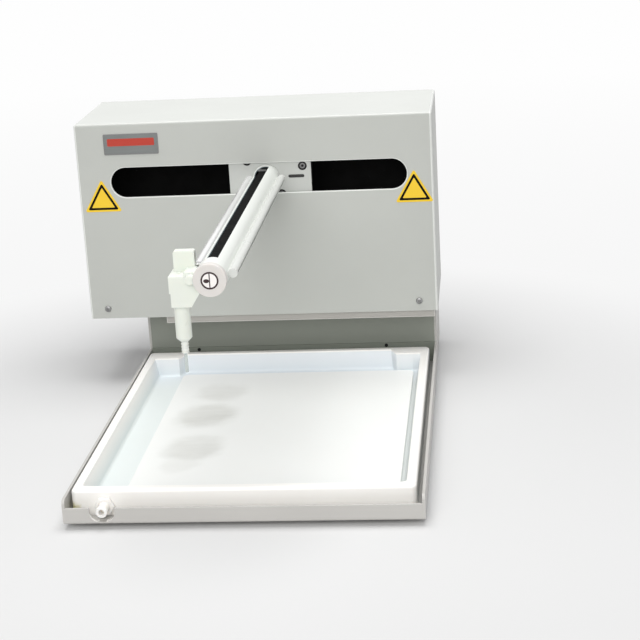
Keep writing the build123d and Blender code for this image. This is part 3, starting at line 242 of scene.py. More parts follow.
def screen(red, green, blue):
    """A linear colour from 0 to 255 screen values."""
    def linear(value):
        share = value / 255
        return share / 12.92 if share <= 0.04045 else ((share + 0.055) / 1.055) ** 2.4
    return (linear(red), linear(green), linear(blue))


def scaled(colour, factor):
    return tuple(min(1.0, channel * factor) for channel in colour)


def rubbed_and_highlit(name, colour):
    """Paint made pale and smooth along the edges of a sheet: worn paint, and a painted highlight where the
    edges catch light.
    """
    paint(name, colour, 0.3, 400.0, 0.006 * MM, 0.04)


def paint(name, colour, roughness=0.42, grain=900.0, depth=0.012 * MM, mottle=0.03, coat=0.0, tint=None):
    """Baked enamel: fine orange peel, slow tone changes, faint worn and dusty patches."""
    g = Graph(name)
    slow = g.spread(g.noise(9.0, 4.0), 0.3, 0.7)
    tone = g.blend(slow, scaled(colour, 1 - mottle), scaled(colour, 1 + mottle))
    rub = g.spread(g.noise(48.0, 6.0, 0.7), 0.62, 0.78)
    tone = g.blend(g.combine("MULTIPLY", rub, 0.16), tone, scaled(colour, 0.86))
    if tint:
        tone = tint(g, tone)
    peel = g.noise(grain, 2.0)
    rough = g.spread(slow, 0, 1, roughness - 0.05, roughness + 0.06)
    g.finish(Base_Color=tone, Roughness=rough, Normal=g.bump(peel, depth), Coat_Weight=coat)


def plastic(name, colour, roughness=0.38, glow=0.15, reach=2.5 * MM, mottle=0.02, tint=None):
    """White or natural moulding: light enters a little, faint flow marks, fine scuffs."""
    g = Graph(name)
    slow = g.spread(g.noise(14.0, 3.0), 0.3, 0.7)
    tone = g.blend(slow, scaled(colour, 1 - mottle), scaled(colour, 1 + mottle))
    if tint:
        tone = tint(g, tone)
    scuff = g.spread(g.noise(160.0, 5.0, 0.75, (1.0, 0.25, 1.0)), 0.55, 0.85)
    tone = g.blend(g.combine("MULTIPLY", scuff, 0.04), tone, scaled(colour, 0.8))
    rough = g.spread(g.noise(60.0, 4.0), 0.3, 0.7, roughness - 0.06, roughness + 0.08)
    normal = g.bump(g.noise(700.0, 2.0), 0.008 * MM)
    g.finish(
        Base_Color=tone, Roughness=rough, Normal=normal,
        Subsurface_Weight=glow, Subsurface_Radius=(1.0, 0.9, 0.8), Subsurface_Scale=reach,
    )


def brushed(name, colour, roughness, stretch=(1.0, 1.0, 0.02)):
    """Metal with fine lines along one way."""
    g = Graph(name)
    line = g.noise(2600.0, 2.0, 0.5, stretch)
    slow = g.spread(g.noise(40.0, 3.0), 0.3, 0.7)
    tone = g.blend(line, scaled(colour, 0.86), scaled(colour, 1.08))
    rough = g.spread(slow, 0, 1, roughness - 0.05, roughness + 0.08)
    g.finish(Base_Color=tone, Metallic=1.0, Roughness=rough, Normal=g.bump(line, 0.004 * MM))


def polished(name, colour, roughness, metal=1.0):
    """Ground and polished bar."""
    g = Graph(name)
    line = g.noise(1800.0, 2.0, 0.5, (1.0, 0.05, 1.0))
    smear = g.spread(g.noise(30.0, 4.0), 0.35, 0.7)
    rough = g.spread(smear, 0, 1, roughness, roughness + 0.07)
    g.finish(
        Base_Color=g.blend(line, scaled(colour, 0.94), colour), Metallic=metal,
        Roughness=rough, Normal=g.bump(line, 0.001 * MM),
    )


def painted_top_light(g, tone):
    """Painted light on the housing's top: a pale film that makes the top brighter, uneven toward the front.
    """
    top_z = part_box("housing_cover")[1].z
    height = g.coordinates()[2]
    # Painted light: the top face is made paler than the front.
    top = g.spread(height, top_z - 1.6 * MM, top_z - 0.3 * MM, kind="SMOOTHSTEP")
    film = g.spread(g.noise(7.0, 5.0, 0.6), 0.3, 0.7, 0.55, 0.8)
    return g.blend(g.combine("MULTIPLY", top, film), tone, screen(216, 218, 214))


def tray_shade_and_stain(g, tone):
    """Painted shade, cooler and darker, inside the tray, at its rear and in the gap at the right; a stain
    at the front left.
    """
    low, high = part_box("spill_tray")
    sheet_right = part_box("tray_insert")[1].x
    across, along, height = g.coordinates()
    # Painted shade: cooler and darker low inside the tray.
    deep = g.spread(height, low.z + 5 * MM, low.z + 16 * MM, 1.0, 0.0)
    behind = g.spread(along, low.y + 3 * MM, low.y + 8 * MM)
    tone = g.blend(g.combine("MULTIPLY", deep, behind), tone, screen(225, 231, 230))
    # Painted shade: darker in the gap between the sheet's right edge and the tray wall.
    gap = g.spread(across, sheet_right - 0.9 * MM, sheet_right - 0.3 * MM)
    gap = g.combine("MULTIPLY", g.combine("MULTIPLY", gap, deep), behind)
    tone = g.blend(g.combine("MULTIPLY", gap, 0.9), tone, screen(198, 202, 201))
    # Painted shade: bluish toward the tray's rear, below its rim top.
    back = g.spread(along, high.y - 53 * MM, high.y - 3 * MM, 0.0, 0.8)
    inside = g.spread(height, high.z - 1.5 * MM, high.z - 0.7 * MM, 1.0, 0.0)
    tone = g.blend(g.combine("MULTIPLY", back, inside), tone, screen(222, 229, 236))
    corner = low + Vector((1 * MM, 1 * MM, 3 * MM))
    ragged = g.spread(g.noise(90.0, 4.0), 0.3, 0.7, -3 * MM, 3 * MM)
    near = g.combine("ADD", g.distance_to(corner, (1, 0.6, 1)), ragged)
    return g.blend(g.spread(near, 2 * MM, 8 * MM, 0.8, 0.0, "SMOOTHSTEP"), tone, screen(190, 184, 120))


def black_film(name, colour, roughness, dust=0.12, film=0.04, gloss=0.5):
    """Dark plastic or paint with a little dust on it."""
    g = Graph(name)
    speck = g.spread(g.cells(210.0), 0.0, 0.11, 1.0, 0.0)
    patch = g.spread(g.noise(24.0, 4.0), 0.52, 0.72)
    dusty = g.combine("MULTIPLY", g.combine("MULTIPLY", speck, patch), dust)
    haze = g.spread(g.noise(18.0, 3.0), 0.3, 0.7, 0.0, film)
    tone = g.blend(g.combine("ADD", dusty, haze), colour, grey(150))
    rough = g.spread(g.noise(90.0, 3.0), 0.3, 0.7, roughness - 0.08, roughness + 0.1)
    normal = g.bump(g.noise(1100.0, 2.0), 0.01 * MM)
    g.finish(Base_Color=tone, Roughness=rough, Normal=normal, Specular_IOR_Level=gloss)


def belt_rubber(name, along):
    """Dark toothed-belt rubber with a faint cross weave and paler worn threads."""
    g = Graph(name)
    across = tuple(0.15 if i != along else 1.0 for i in range(3))
    thread = g.noise(1500.0, 2.0, 0.5, across)
    worn = g.spread(g.noise(120.0, 5.0, 0.7), 0.45, 0.75)
    tone = g.blend(g.combine("MULTIPLY", worn, thread), grey(5), grey(30))
    rough = g.spread(thread, 0.3, 0.7, 0.7, 0.85)
    normal = g.bump(thread, 0.03 * MM)
    g.finish(Base_Color=tone, Roughness=rough, Normal=normal, Specular_IOR_Level=0.06)


def insert_plastic():
    """The loose white sheet, with faint round marks where vessels stood."""
    g = Graph("insert_plastic")
    white = screen(241, 242, 240)
    marks = None
    places = (
        ((-37 * MM, -10 * MM, 0), 31 * MM, 1.0),
        ((-36 * MM, -82 * MM, 0), 31 * MM, 0.75),
        ((-40 * MM, -112 * MM, 0), 20 * MM, 0.3),
        ((-31 * MM, 46 * MM, 0), 27 * MM, 0.5),
    )
    wobble = g.spread(g.noise(40.0, 4.0), 0.3, 0.7, -0.004, 0.004)
    for point, radius, strength in places:
        away = g.combine("ADD", g.distance_to(point, (1, 0.9, 0)), wobble)
        disc = g.spread(away, radius * 0.45, radius, strength, 0.0, "SMOOTHSTEP")
        marks = disc if marks is None else g.combine("MAXIMUM", marks, disc)
    streaks = g.spread(g.noise(26.0, 5.0, 0.6, (0.5, 1.4, 1.0)), 0.25, 0.7, 0.3, 0.9)
    patchy = g.combine("MULTIPLY", marks, streaks)
    tone = g.blend(patchy, white, screen(203, 203, 198))
    scuff = g.spread(g.noise(130.0, 5.0, 0.75, (1.0, 0.3, 1.0)), 0.6, 0.8)
    tone = g.blend(g.combine("MULTIPLY", scuff, 0.05), tone, grey(200))
    g.finish(
        Base_Color=tone, Roughness=g.spread(g.noise(50.0, 4.0), 0.3, 0.7, 0.36, 0.5),
        Normal=g.bump(g.noise(500.0, 2.0), 0.01 * MM),
        Subsurface_Weight=0.1, Subsurface_Radius=(1.0, 0.95, 0.9), Subsurface_Scale=2 * MM,
    )


def arm_coat():
    """The arm's white enamel outside, and a dull blue-grey painted shade inside the tube, where it lies in
    shadow.
    """
    g = Graph("arm_paint")
    white = screen(230, 233, 228)
    slow = g.spread(g.noise(9.0, 4.0), 0.3, 0.7)
    tone = g.blend(slow, scaled(white, 0.985), scaled(white, 1.015))
    rub = g.spread(g.noise(48.0, 6.0, 0.7), 0.62, 0.78)
    tone = g.blend(g.combine("MULTIPLY", rub, 0.12), tone, scaled(white, 0.86))
    low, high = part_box("arm_tube")
    axis = (high.x - TUBE_RADIUS, 0, (low.z + high.z) / 2)
    reach = g.distance_to(axis, (1, 0, 1))
    inside = g.spread(reach, TUBE_RADIUS - 1.15 * MM, TUBE_RADIUS - 0.95 * MM, 1.0, 0.0)
    # Painted shade: the inside of the tube is coloured dark blue-grey.
    painted_inner_shade = g.blend(g.noise(60.0, 4.0), screen(92, 104, 108), screen(122, 134, 138))
    rough = g.spread(inside, 0, 1, 0.3, 0.22)
    normal = g.bump(g.noise(600.0, 2.0), 0.008 * MM)
    g.finish(Base_Color=g.blend(inside, tone, painted_inner_shade), Roughness=rough, Normal=normal)


def clear_tubing():
    """Soft clear tube, a little milky."""
    g = Graph("tubing_clear")
    tone = g.blend(g.noise(300.0, 3.0), screen(214, 222, 220), screen(232, 238, 236))
    g.finish(
        Base_Color=tone, Roughness=0.18, Transmission_Weight=0.55, IOR=1.35,
        Subsurface_Weight=0.0,
    )


def board_lacquer():
    """Green board with copper tracks under the lacquer."""
    g = Graph("board_green")
    track = g.spread(g.cells(420.0, "DISTANCE_TO_EDGE"), 0.02, 0.05, 1.0, 0.0)
    tone = g.blend(g.combine("MULTIPLY", track, 0.55), screen(18, 78, 44), screen(60, 140, 80))
    g.finish(Base_Color=tone, Roughness=0.25, Normal=g.bump(track, 0.02 * MM))


def make_materials():
    """Every material, under the name that a slot or a piece asks for."""
    paint("pan_paint", screen(190, 188, 184), 0.42)
    paint("cover_paint", screen(186, 188, 183), 0.42, tint=painted_top_light)
    paint("rear_paint", screen(200, 202, 198), 0.45)
    # Painted highlights, partly worn paint: pale edges on the cover, its slot rim and side folds, the pan
    # and the beam, where the edges catch light.
    rubbed_and_highlit("cover_edge", screen(226, 228, 224))
    rubbed_and_highlit("pan_edge", screen(228, 227, 224))
    rubbed_and_highlit("beam_edge", screen(224, 221, 217))
    paint("beam_paint", screen(172, 169, 164), 0.45)
    # Painted shade: the recess wall is painted darker than the housing for the shade under the housing's
    # overhang.
    paint("recess_paint", screen(143, 147, 138), 0.5)
    paint("strip_paint", screen(134, 139, 129), 0.5)
    paint("carriage_paint", screen(190, 192, 188), 0.4)
    arm_coat()
    black_film("motor_black", grey(30), 0.45)
    brushed("chassis_steel", grey(186), 0.36, (1.0, 0.02, 1.0))
    brushed("screw_steel", grey(150), 0.34, (0.2, 1.0, 0.2))
    black_film("dark_screw", grey(14), 0.4, 0.03, film=0.02, gloss=0.25)
    brushed("pin_steel", grey(196), 0.25, (1.0, 0.05, 1.0))
    brushed("socket_metal", grey(200), 0.28)
    # Painted highlight: the shaft is only part metal, so its near-white colour shows as a bright streak
    # along the bar.
    polished("shaft_chrome", grey(246), 0.17, 0.4)
    brushed("plate_metal", screen(126, 129, 128), 0.36, (0.02, 1.0, 1.0))
    brushed("bracket_metal", screen(200, 202, 204), 0.34)
    brushed("pulley_metal", screen(206, 208, 211), 0.28, (1.0, 0.05, 1.0))
    brushed("bush_brass", screen(206, 172, 112), 0.3, (0.05, 1.0, 1.0))
    black_film("foot_rubber", grey(34), 0.72, 0.3)
    plastic("tray_plastic", screen(251, 249, 245), 0.36, 0.08, 3 * MM, 0.01, tray_shade_and_stain)
    insert_plastic()
    plastic("spout_plastic", screen(242, 239, 235), 0.26, 0.6, 4 * MM)
    paint("rail_plastic", screen(210, 212, 208), 0.26, 700.0, 0.006 * MM, 0.02)
    plastic("cap_plastic", screen(216, 212, 208), 0.34, 0.2, 3 * MM)
    plastic("block_plastic", screen(236, 237, 233), 0.36, 0.15)
    plastic("head_plastic", screen(227, 231, 222), 0.32, 0.35, 4 * MM)
    plastic("tip_plastic", screen(232, 234, 227), 0.3, 0.4, 3 * MM)
    clear_tubing()
    black_film("carriage_plastic", grey(40), 0.5)
    black_film("shroud_black", grey(10), 0.7, 0.3, film=0.008, gloss=0.1)
    black_film("inlet_black", grey(32), 0.42, 0.05)
    black_film("chip_black", grey(34), 0.5, 0.02)
    black_film("rocker_black", grey(26), 0.22, 0.05)
    board_lacquer()
    paint("sticker_film", screen(240, 200, 40), 0.3, 300.0, 0.004 * MM, 0.03)
    paint("label_film", screen(240, 236, 234), 0.3, 300.0, 0.004 * MM, 0.01)
    paint("badge_red", screen(180, 50, 32), 0.35, 500.0, 0.006 * MM, 0.05, 0.1)
    brushed("worn_metal", grey(128), 0.4, (0.2, 1.0, 0.2))
    plastic("insulator", screen(40, 42, 46), 0.4, 0.0)
    polished("pin_gold", screen(214, 178, 104), 0.2)
    belt_rubber("arm_belt_rubber", 1)
    belt_rubber("cross_belt_rubber", 0)
    black_film("ink_black", grey(6), 0.6, 0.0, film=0.0, gloss=0.1)
    paint("ink_maroon", screen(42, 18, 22), 0.4, 300.0, 0.002 * MM)


RECORD = frame["record"]
NODE_SLOT = {part["node"]: part["material_slot"] for part in RECORD["subparts"]}
NODE_BODY = {node: body for body, nodes in RECORD["behaviour"]["bodies"].items() for node in nodes}


def material_name(node):
    """The material that a node's shape wears, which only the belts have apart from their slot."""
    special = {"arm_belt": "arm_belt_rubber", "cross_belt": "cross_belt_rubber"}
    return special.get(node, NODE_SLOT[node])


def smooth(mesh, angle=30.0):
    """Shades faces as round where they meet at less than an angle in degrees."""
    for face in mesh.polygons:
        face.use_smooth = True
    mesh.set_sharp_from_angle(angle=math.radians(angle))


def weigh_normals(mesh, angle=50.0):
    """Shades each corner by the faces round it, weighed by area, so that flat faces stay flat."""
    limit = math.cos(math.radians(angle))
    around = [[] for _ in mesh.vertices]
    for face in mesh.polygons:
        for vert in face.vertices:
            around[vert].append((face.normal.copy(), face.area))
    normals = []
    for face in mesh.polygons:
        for vert in face.vertices:
            near = [normal * area for normal, area in around[vert] if normal.dot(face.normal) > limit]
            normals.append(sum(near, Vector()).normalized())
    mesh.normals_split_custom_set(normals)


def piece(name, bm, materials, node, replaced=True, angle=30.0):
    """Makes a piece from a bmesh: it rides with a CAD node's body and takes its slot or a given one."""
    mesh = bpy.data.meshes.new(name)
    bmesh.ops.recalc_face_normals(bm, faces=bm.faces)
    bm.to_mesh(mesh)
    bm.free()
    for material in materials:
        mesh.materials.append(MATERIALS[material])
    smooth(mesh, angle)
    weigh_normals(mesh)
    made = bpy.data.objects.new(name, mesh)
    bpy.context.scene.collection.objects.link(made)
    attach(made, NODE_BODY[node])
    if replaced:
        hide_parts(node)


def welded(node):
    """A CAD node's mesh with its seams closed and its flat faces whole."""
    bm = bmesh.new()
    bm.from_mesh(frame["nodes"][node].data)
    bmesh.ops.remove_doubles(bm, verts=bm.verts, dist=WELD)
    bmesh.ops.dissolve_limit(
        bm, angle_limit=FLAT_ANGLE, verts=bm.verts, edges=bm.edges, use_dissolve_boundaries=False
    )
    return bm


def is_side_fold(normal):
    """True for the round of a fold at a sheet's left or right side."""
    return abs(normal.x) > 0.1 and max(abs(value) for value in normal) < 0.995


def sharp_edges(bm):
    return [e for e in bm.edges if len(e.link_faces) == 2 and e.calc_face_angle(0) > SHARP_ANGLE]


def round_off(bm, edges, width, segments, index=-1):
    """Rounds edges; the new faces take a material by its index, or that of the faces beside them."""
    bmesh.ops.bevel(
        bm, geom=edges, offset=width, offset_type="OFFSET", segments=segments, profile=0.5,
        affect="EDGES", clamp_overlap=True, material=index,
    )


def rounded_copy(node, width, segments=2, edge=None, foot=None, rim=None):
    """A CAD node's shape again, its sharp edges rounded off.

    Edges at the height given in foot are rounded wider, and so are those that the test in rim picks.
    The folds at the left and right sides of a sheet take the edge material too, a painted highlight along
    them.
    """
    bm = welded(node)
    index = 1 if edge else -1
    # The edge material is pale: a painted highlight on the side folds, the slot rim and the rounded edges.
    if edge:
        for face in bm.faces:
            if is_side_fold(face.normal):
                face.material_index = index
    if rim:
        reach, picked = rim
        wide = [e for e in sharp_edges(bm) if all(picked(v.co) for v in e.verts)]
        round_off(bm, wide, reach, 4, index)
    if foot:
        height, reach = foot
        low = [e for e in bm.edges if all(abs(v.co.z - height) < ON_FACE for v in e.verts)]
        low = [e for e in low if len(e.link_faces) == 2 and e.calc_face_angle_signed(0) < -SHARP_ANGLE]
        round_off(bm, low, reach, 5)
    round_off(bm, sharp_edges(bm), width, segments, index)
    bm.normal_update()
    materials = [material_name(node)] + ([edge] if edge else [])
    piece(node + "_rounded", bm, materials, node)


def islands(node):
    """The boxes of a node's separate solids, from left to right and then from low to high."""
    bm = bmesh.new()
    bm.from_mesh(frame["nodes"][node].data)
    bmesh.ops.remove_doubles(bm, verts=bm.verts, dist=WELD)
    left = set(bm.verts)
    boxes = []
    while left:
        group = [left.pop()]
        for vert in group:
            for edge in vert.link_edges:
                other = edge.other_vert(vert)
                if other in left:
                    left.remove(other)
                    group.append(other)
        low = Vector(min(v.co[i] for v in group) for i in range(3))
        high = Vector(max(v.co[i] for v in group) for i in range(3))
        boxes.append((low, high))
    bm.free()
    return sorted(boxes, key=lambda box: (round(box[0].x, 4), round(box[0].z, 4)))


WAYS = {
    "front": (Vector((1, 0, 0)), Vector((0, 0, 1)), Vector((0, -1, 0))),
    "back": (Vector((-1, 0, 0)), Vector((0, 0, 1)), Vector((0, 1, 0))),
    "up": (Vector((1, 0, 0)), Vector((0, 1, 0)), Vector((0, 0, 1))),
}


def turned(bm, centre, way, profile, count=48, index=0):
    """A body turned about an axis, from pairs of radius and height; a radius may vary with the angle."""
    side, upright, along = WAYS[way]
    rings = []
    for radius, height in profile:
        ring = []
        for step in range(count):
            angle = 2 * math.pi * step / count
            reach = radius(angle) if callable(radius) else radius
            flat = side * math.cos(angle) * reach + upright * math.sin(angle) * reach
            ring.append(bm.verts.new(Vector(centre) + flat + along * height))
        rings.append(ring)
    faces = []
    for low, high in zip(rings, rings[1:]):
        for step in range(count):
            after = (step + 1) % count
            faces.append(bm.faces.new((low[step], low[after], high[after], high[step])))
    faces.append(bm.faces.new(rings[0]))
    faces.append(bm.faces.new(rings[-1]))
    for face in faces:
        face.material_index = index


def hexagon(across):
    """The reach of a hexagon, measured across its flats, at an angle."""
    return lambda angle: across / 2 / math.cos(angle % (math.pi / 3) - math.pi / 6)


def cross(arm, half):
    """The reach of a cross at an angle, with arms so long and half so wide."""
    def reach(angle):
        lie, rise = abs(math.cos(angle + math.pi / 4)), abs(math.sin(angle + math.pi / 4))
        flat = min(arm / max(lie, TINY), half / max(rise, TINY))
        tall = min(arm / max(rise, TINY), half / max(lie, TINY))
        return max(flat, tall)
    return reach


def pan_head(bm, centre, way, radius, height):
    """A domed screw head with a worn cross in it, seated on its washer face."""
    recess = cross(radius * 0.52, radius * 0.13)
    dome = [(radius * wide, height * tall) for wide, tall in SCREW_HEAD_SHARES]
    sunk = [(recess, height * 0.985), (lambda angle: recess(angle) * 0.8, height * 0.3)]
    turned(bm, centre, way, dome + sunk, 96)


def screws_piece(name, node, way, proud, radius, material=None):
    """All the pan-head screws of a node."""
    bm = bmesh.new()
    for low, high in islands(node):
        middle = (low + high) / 2
        face_y = low.y + proud if way == "front" else high.y - proud
        pan_head(bm, (middle.x, face_y, middle.z), way, radius, proud)
    piece(name, bm, [material or material_name(node)], node)


def carriage_screw_heads():
    """The black flush screws of the carriage plate: a coned rim and a hexagon socket with worn edges."""
    bm = bmesh.new()
    for low, high in islands("carriage_screws"):
        middle = (low + high) / 2
        radius = (high.x - low.x) / 2
        centre = (middle.x, low.y, middle.z)
        socket = hexagon(radius * 0.66)
        turned(bm, centre, "front", (
            (radius, -1.4 * MM), (radius, -0.25 * MM), (radius * 0.94, -0.04 * MM),
            (radius * 0.64, -0.02 * MM), (radius * 0.62, -1.1 * MM),
        ))
        turned(bm, centre, "front", (
            (radius * 0.6, -1.05 * MM), (radius * 0.6, -0.2 * MM), (radius * 0.56, -0.14 * MM),
            (socket, -0.18 * MM), (socket, -0.9 * MM),
        ), index=1)
        turned(bm, centre, "front", (
            (radius * 0.3, -0.95 * MM), (radius * 0.3, -0.6 * MM), (radius * 0.22, -0.56 * MM)))
    piece("carriage_screw_heads", bm, ["dark_screw", "worn_metal"], "carriage_screws")


def tooth_belt(name, node, material, along):
    """A toothed belt round two pulleys, its teeth inward, in the space of its CAD loop."""
    low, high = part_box(node)
    middle = (low + high) / 2
    outer = (high.z - low.z) / 2
    half_span = (high[along] - low[along]) / 2 - outer
    wide = 1 - along
    pitch_radius = outer - BELT_THICKNESS / 2
    length = 4 * half_span + 2 * math.pi * pitch_radius
    teeth = round(length / BELT_PITCH)
    back = BELT_THICKNESS * 0.45
    steps = ((0.0, back), (0.30, back), (0.42, BELT_THICKNESS), (0.88, BELT_THICKNESS))
    bm = bmesh.new()
    rings = []
    for tooth in range(teeth):
        for share, depth in steps:
            run = (tooth + share) / teeth * length
            if run < 2 * half_span:
                spot, turn = (-half_span + run, 0.0), math.pi / 2
            elif run < 2 * half_span + math.pi * pitch_radius:
                turn = math.pi / 2 - (run - 2 * half_span) / pitch_radius
                spot = (half_span, 0.0)
            elif run < 4 * half_span + math.pi * pitch_radius:
                spot, turn = (half_span - (run - 2 * half_span - math.pi * pitch_radius), 0.0), -math.pi / 2
            else:
                turn = -math.pi / 2 - (run - 4 * half_span - math.pi * pitch_radius) / pitch_radius
                spot = (-half_span, 0.0)
            ring = []
            for side, reach in ((-1, outer), (1, outer), (1, outer - depth), (-1, outer - depth)):
                point = middle.copy()
                point[along] += spot[0] + math.cos(turn) * reach
                point[wide] += side * (high[wide] - low[wide]) / 2
                point.z += math.sin(turn) * reach
                ring.append(bm.verts.new(point))
            rings.append(ring)
    for ring, after in zip(rings, rings[1:] + rings[:1]):
        for i in range(4):
            j = (i + 1) % 4
            bm.faces.new((ring[i], ring[j], after[j], after[i]))
    piece(name, bm, [material], node, angle=40.0)


def rounded_polygon(points, radius, steps=6):
    """A closed outline with each corner turned at a radius."""
    outline = []
    count = len(points)
    for i in range(count):
        corner = Vector(points[i])
        before = (Vector(points[i - 1]) - corner).normalized()
        after = (Vector(points[(i + 1) % count]) - corner).normalized()
        half = before.angle(after) / 2
        centre = corner + (before + after).normalized() * (radius / math.sin(half))
        start = corner + before * (radius / math.tan(half)) - centre
        end = corner + after * (radius / math.tan(half)) - centre
        sweep = start.angle_signed(end)
        for step in range(steps + 1):
            turn = -sweep * step / steps
            outline.append(centre + Matrix.Rotation(turn, 2) @ start)
    return outline


def slab(bm, outline, face_y, back_y, index=0, hole=None):
    """An outline in X and Z made solid in Y, or a frame of one where a hole is given."""
    faces = []
    loops = []
    for points, sign in ((outline, 1), (hole, -1)):
        if points:
            front = [bm.verts.new((p[0], face_y, p[1])) for p in points]
            back = [bm.verts.new((p[0], back_y, p[1])) for p in points]
            loops.append((front, back))
            for i in range(len(points)):
                j = (i + 1) % len(points)
                quad = (front[i], front[j], back[j], back[i])
                faces.append(bm.faces.new(quad if sign > 0 else quad[::-1]))
    if hole:
        (front, back), (inner_front, inner_back) = loops
        for i in range(len(outline)):
            j = (i + 1) % len(outline)
            faces.append(bm.faces.new((front[i], inner_front[i], inner_front[j], front[j])))
            faces.append(bm.faces.new((back[j], inner_back[j], inner_back[i], back[i])))
    else:
        faces.append(bm.faces.new(loops[0][0]))
        faces.append(bm.faces.new(loops[0][1]))
    for face in faces:
        face.material_index = index


def arc(centre_x, centre_z, radius, start, end, steps):
    """Points along an arc, from one angle to another."""
    angles = [start + (end - start) * step / steps for step in range(steps + 1)]
    return [(centre_x + math.cos(t) * radius, centre_z + math.sin(t) * radius) for t in angles]


def ellipse(centre_x, centre_z, wide, tall, count):
    """A round outline from its half width and half height."""
    angles = [-2 * math.pi * step / count for step in range(count)]
    return [(centre_x + math.cos(t) * wide, centre_z + math.sin(t) * tall) for t in angles]


def triangle(centre_x, base_z, side):
    height = side * math.sqrt(3) / 2
    return ((centre_x - side / 2, base_z), (centre_x, base_z + height), (centre_x + side / 2, base_z))


def rectangle(x0, x1, z0, z1):
    return ((x0, z0), (x0, z1), (x1, z1), (x1, z0))


def stickers():
    """Yellow triangles with a black line round a bare field."""
    inset = (STICKER_SIDE - STICKER_LINE_SIDE) / 2 / math.sqrt(3)
    field_side = STICKER_LINE_SIDE - 2 * math.sqrt(3) * STICKER_LINE
    bm = bmesh.new()
    for low, high in islands("triangle_stickers"):
        film, outer, inner = (
            rounded_polygon(triangle((low.x + high.x) / 2, base, side), radius)
            for base, side, radius in (
                (low.z, STICKER_SIDE, 1.2 * MM),
                (low.z + inset, STICKER_LINE_SIDE, 0.9 * MM),
                (low.z + inset + STICKER_LINE, field_side, 0.4 * MM),
            )
        )
        slab(bm, film, low.y, high.y)
        slab(bm, outer, low.y - PRINT_PROUD, low.y + PRINT_DEPTH, 1, inner)
    piece("stickers", bm, ["sticker_film", "ink_black"], "triangle_stickers")


def badge():
    """The bare name plate: brushed, with a bright rim and one plain red bar."""
    low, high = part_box("name_plate")
    bm = bmesh.new()
    rim = 0.9 * MM
    outer = rounded_polygon(rectangle(low.x, high.x, low.z, high.z), 1.0 * MM)
    inner = rounded_polygon(rectangle(low.x + rim, high.x - rim, low.z + rim, high.z - rim), 0.5 * MM)
    slab(bm, outer, low.y, high.y, 1, inner)
    slab(bm, inner, low.y + 0.2 * MM, high.y)
    wide, tall = high.x - low.x, high.z - low.z
    bar = rectangle(low.x + wide * 0.07, high.x - wide * 0.07, low.z + tall * 0.42, low.z + tall * 0.78)
    slab(bm, rounded_polygon(bar, 0.8 * MM), low.y + 0.05 * MM, low.y + 0.3 * MM, 2)
    piece("badge", bm, ["plate_metal", "worn_metal", "badge_red"], "name_plate")


def cap_mark():
    """The round label: a dark ring with a plain upright line and a dot."""
    low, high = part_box("cap_label")
    middle = (low + high) / 2
    radius = (high.x - low.x) / 2
    thick = high.y - low.y
    bm = bmesh.new()
    turned(bm, (middle.x, high.y, middle.z), "front", (
        (radius, 0.0), (radius, thick - 0.05 * MM), (radius * 0.97, thick),
    ), 72)
    ring, hole = (
        ellipse(middle.x, middle.z, radius * share, radius * share, 72) for share in (0.98, 0.79)
    )
    half, reach = radius * 0.06, radius * 0.8
    line = rectangle(middle.x - half, middle.x + half, middle.z - reach, middle.z + reach)
    dot = ellipse(middle.x - radius * 0.36, middle.z - radius * 0.04, radius * 0.32, radius * 0.22, 24)
    prints = ((ring, hole, PRINT_PROUD), (line, None, 0.02 * MM), (dot, None, 0.025 * MM))
    for outline, inner, proud in prints:
        slab(bm, outline, low.y - proud, low.y + PRINT_DEPTH, 1, inner)
    piece("cap_mark", bm, ["label_film", "ink_maroon"], "cap_label")


def grip_knob():
    """The knurled knob and the screw that hold the barrel."""
    low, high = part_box("grip_screw")
    middle = (low + high) / 2
    radius = (high.x - low.x) / 2
    length = high.y - low.y

    def knurl(angle):
        return radius * (0.965 + 0.035 * math.cos(24 * angle))

    knob = 5.0 * MM
    bm = bmesh.new()
    turned(bm, (middle.x, low.y, middle.z), "back", (
        (1.5 * MM, 0.0), (1.5 * MM, length - knob), (radius * 0.88, length - knob),
        (knurl, length - knob + 0.5 * MM), (knurl, length - 0.6 * MM), (radius * 0.84, length),
        (radius * 0.5, length), (radius * 0.4, length - 0.5 * MM),
    ), 96)
    piece("grip_knob", bm, ["head_plastic"], "grip_screw")


def drip_tube():
    """The thin outlet tube, hollow, with a cut end."""
    low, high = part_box("outlet_tube")
    middle = (low + high) / 2
    radius = (high.x - low.x) / 2
    length = high.z - low.z
    bm = bmesh.new()
    turned(bm, (middle.x, middle.y, low.z), "up", (
        (radius * 0.5, 2.0 * MM), (radius * 0.5, 0.1 * MM), (radius * 0.8, 0.0), (radius * 0.98, 0.15 * MM),
        (radius, 1.0 * MM), (radius, length - 0.2 * MM), (radius * 0.9, length),
    ), 32)
    piece("drip_tube", bm, [material_name("outlet_tube")], "outlet_tube")


def drain_fitting():
    """The tray's drain: a six-sided nut and a stub with two raised rings."""
    low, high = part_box("drain_spout")
    middle = (low + high) / 2
    radius = (high.x - low.x) / 2
    length = high.y - low.y
    nut = hexagon(2 * radius * math.cos(math.pi / 6))
    nut_top = DRAIN_NUT_LENGTH
    stub = DRAIN_STUB_RADIUS
    bm = bmesh.new()
    turned(bm, (middle.x, high.y, middle.z), "front", (
        (radius * 0.86, 0.0), (nut, 0.4 * MM), (nut, nut_top - 0.5 * MM), (radius * 0.84, nut_top),
        (stub, nut_top), (stub, nut_top + 1.6 * MM), (stub * 0.93, nut_top + 2.2 * MM),
        (stub * 0.93, length - 3.6 * MM), (stub, length - 3.2 * MM), (stub * 0.98, length - 0.5 * MM),
        (stub * 0.88, length), (stub * 0.5, length), (stub * 0.44, length - 0.4 * MM),
        (stub * 0.43, length - 6 * MM),
    ), 96)
    piece("drain_fitting", bm, [material_name("drain_spout")], "drain_spout")


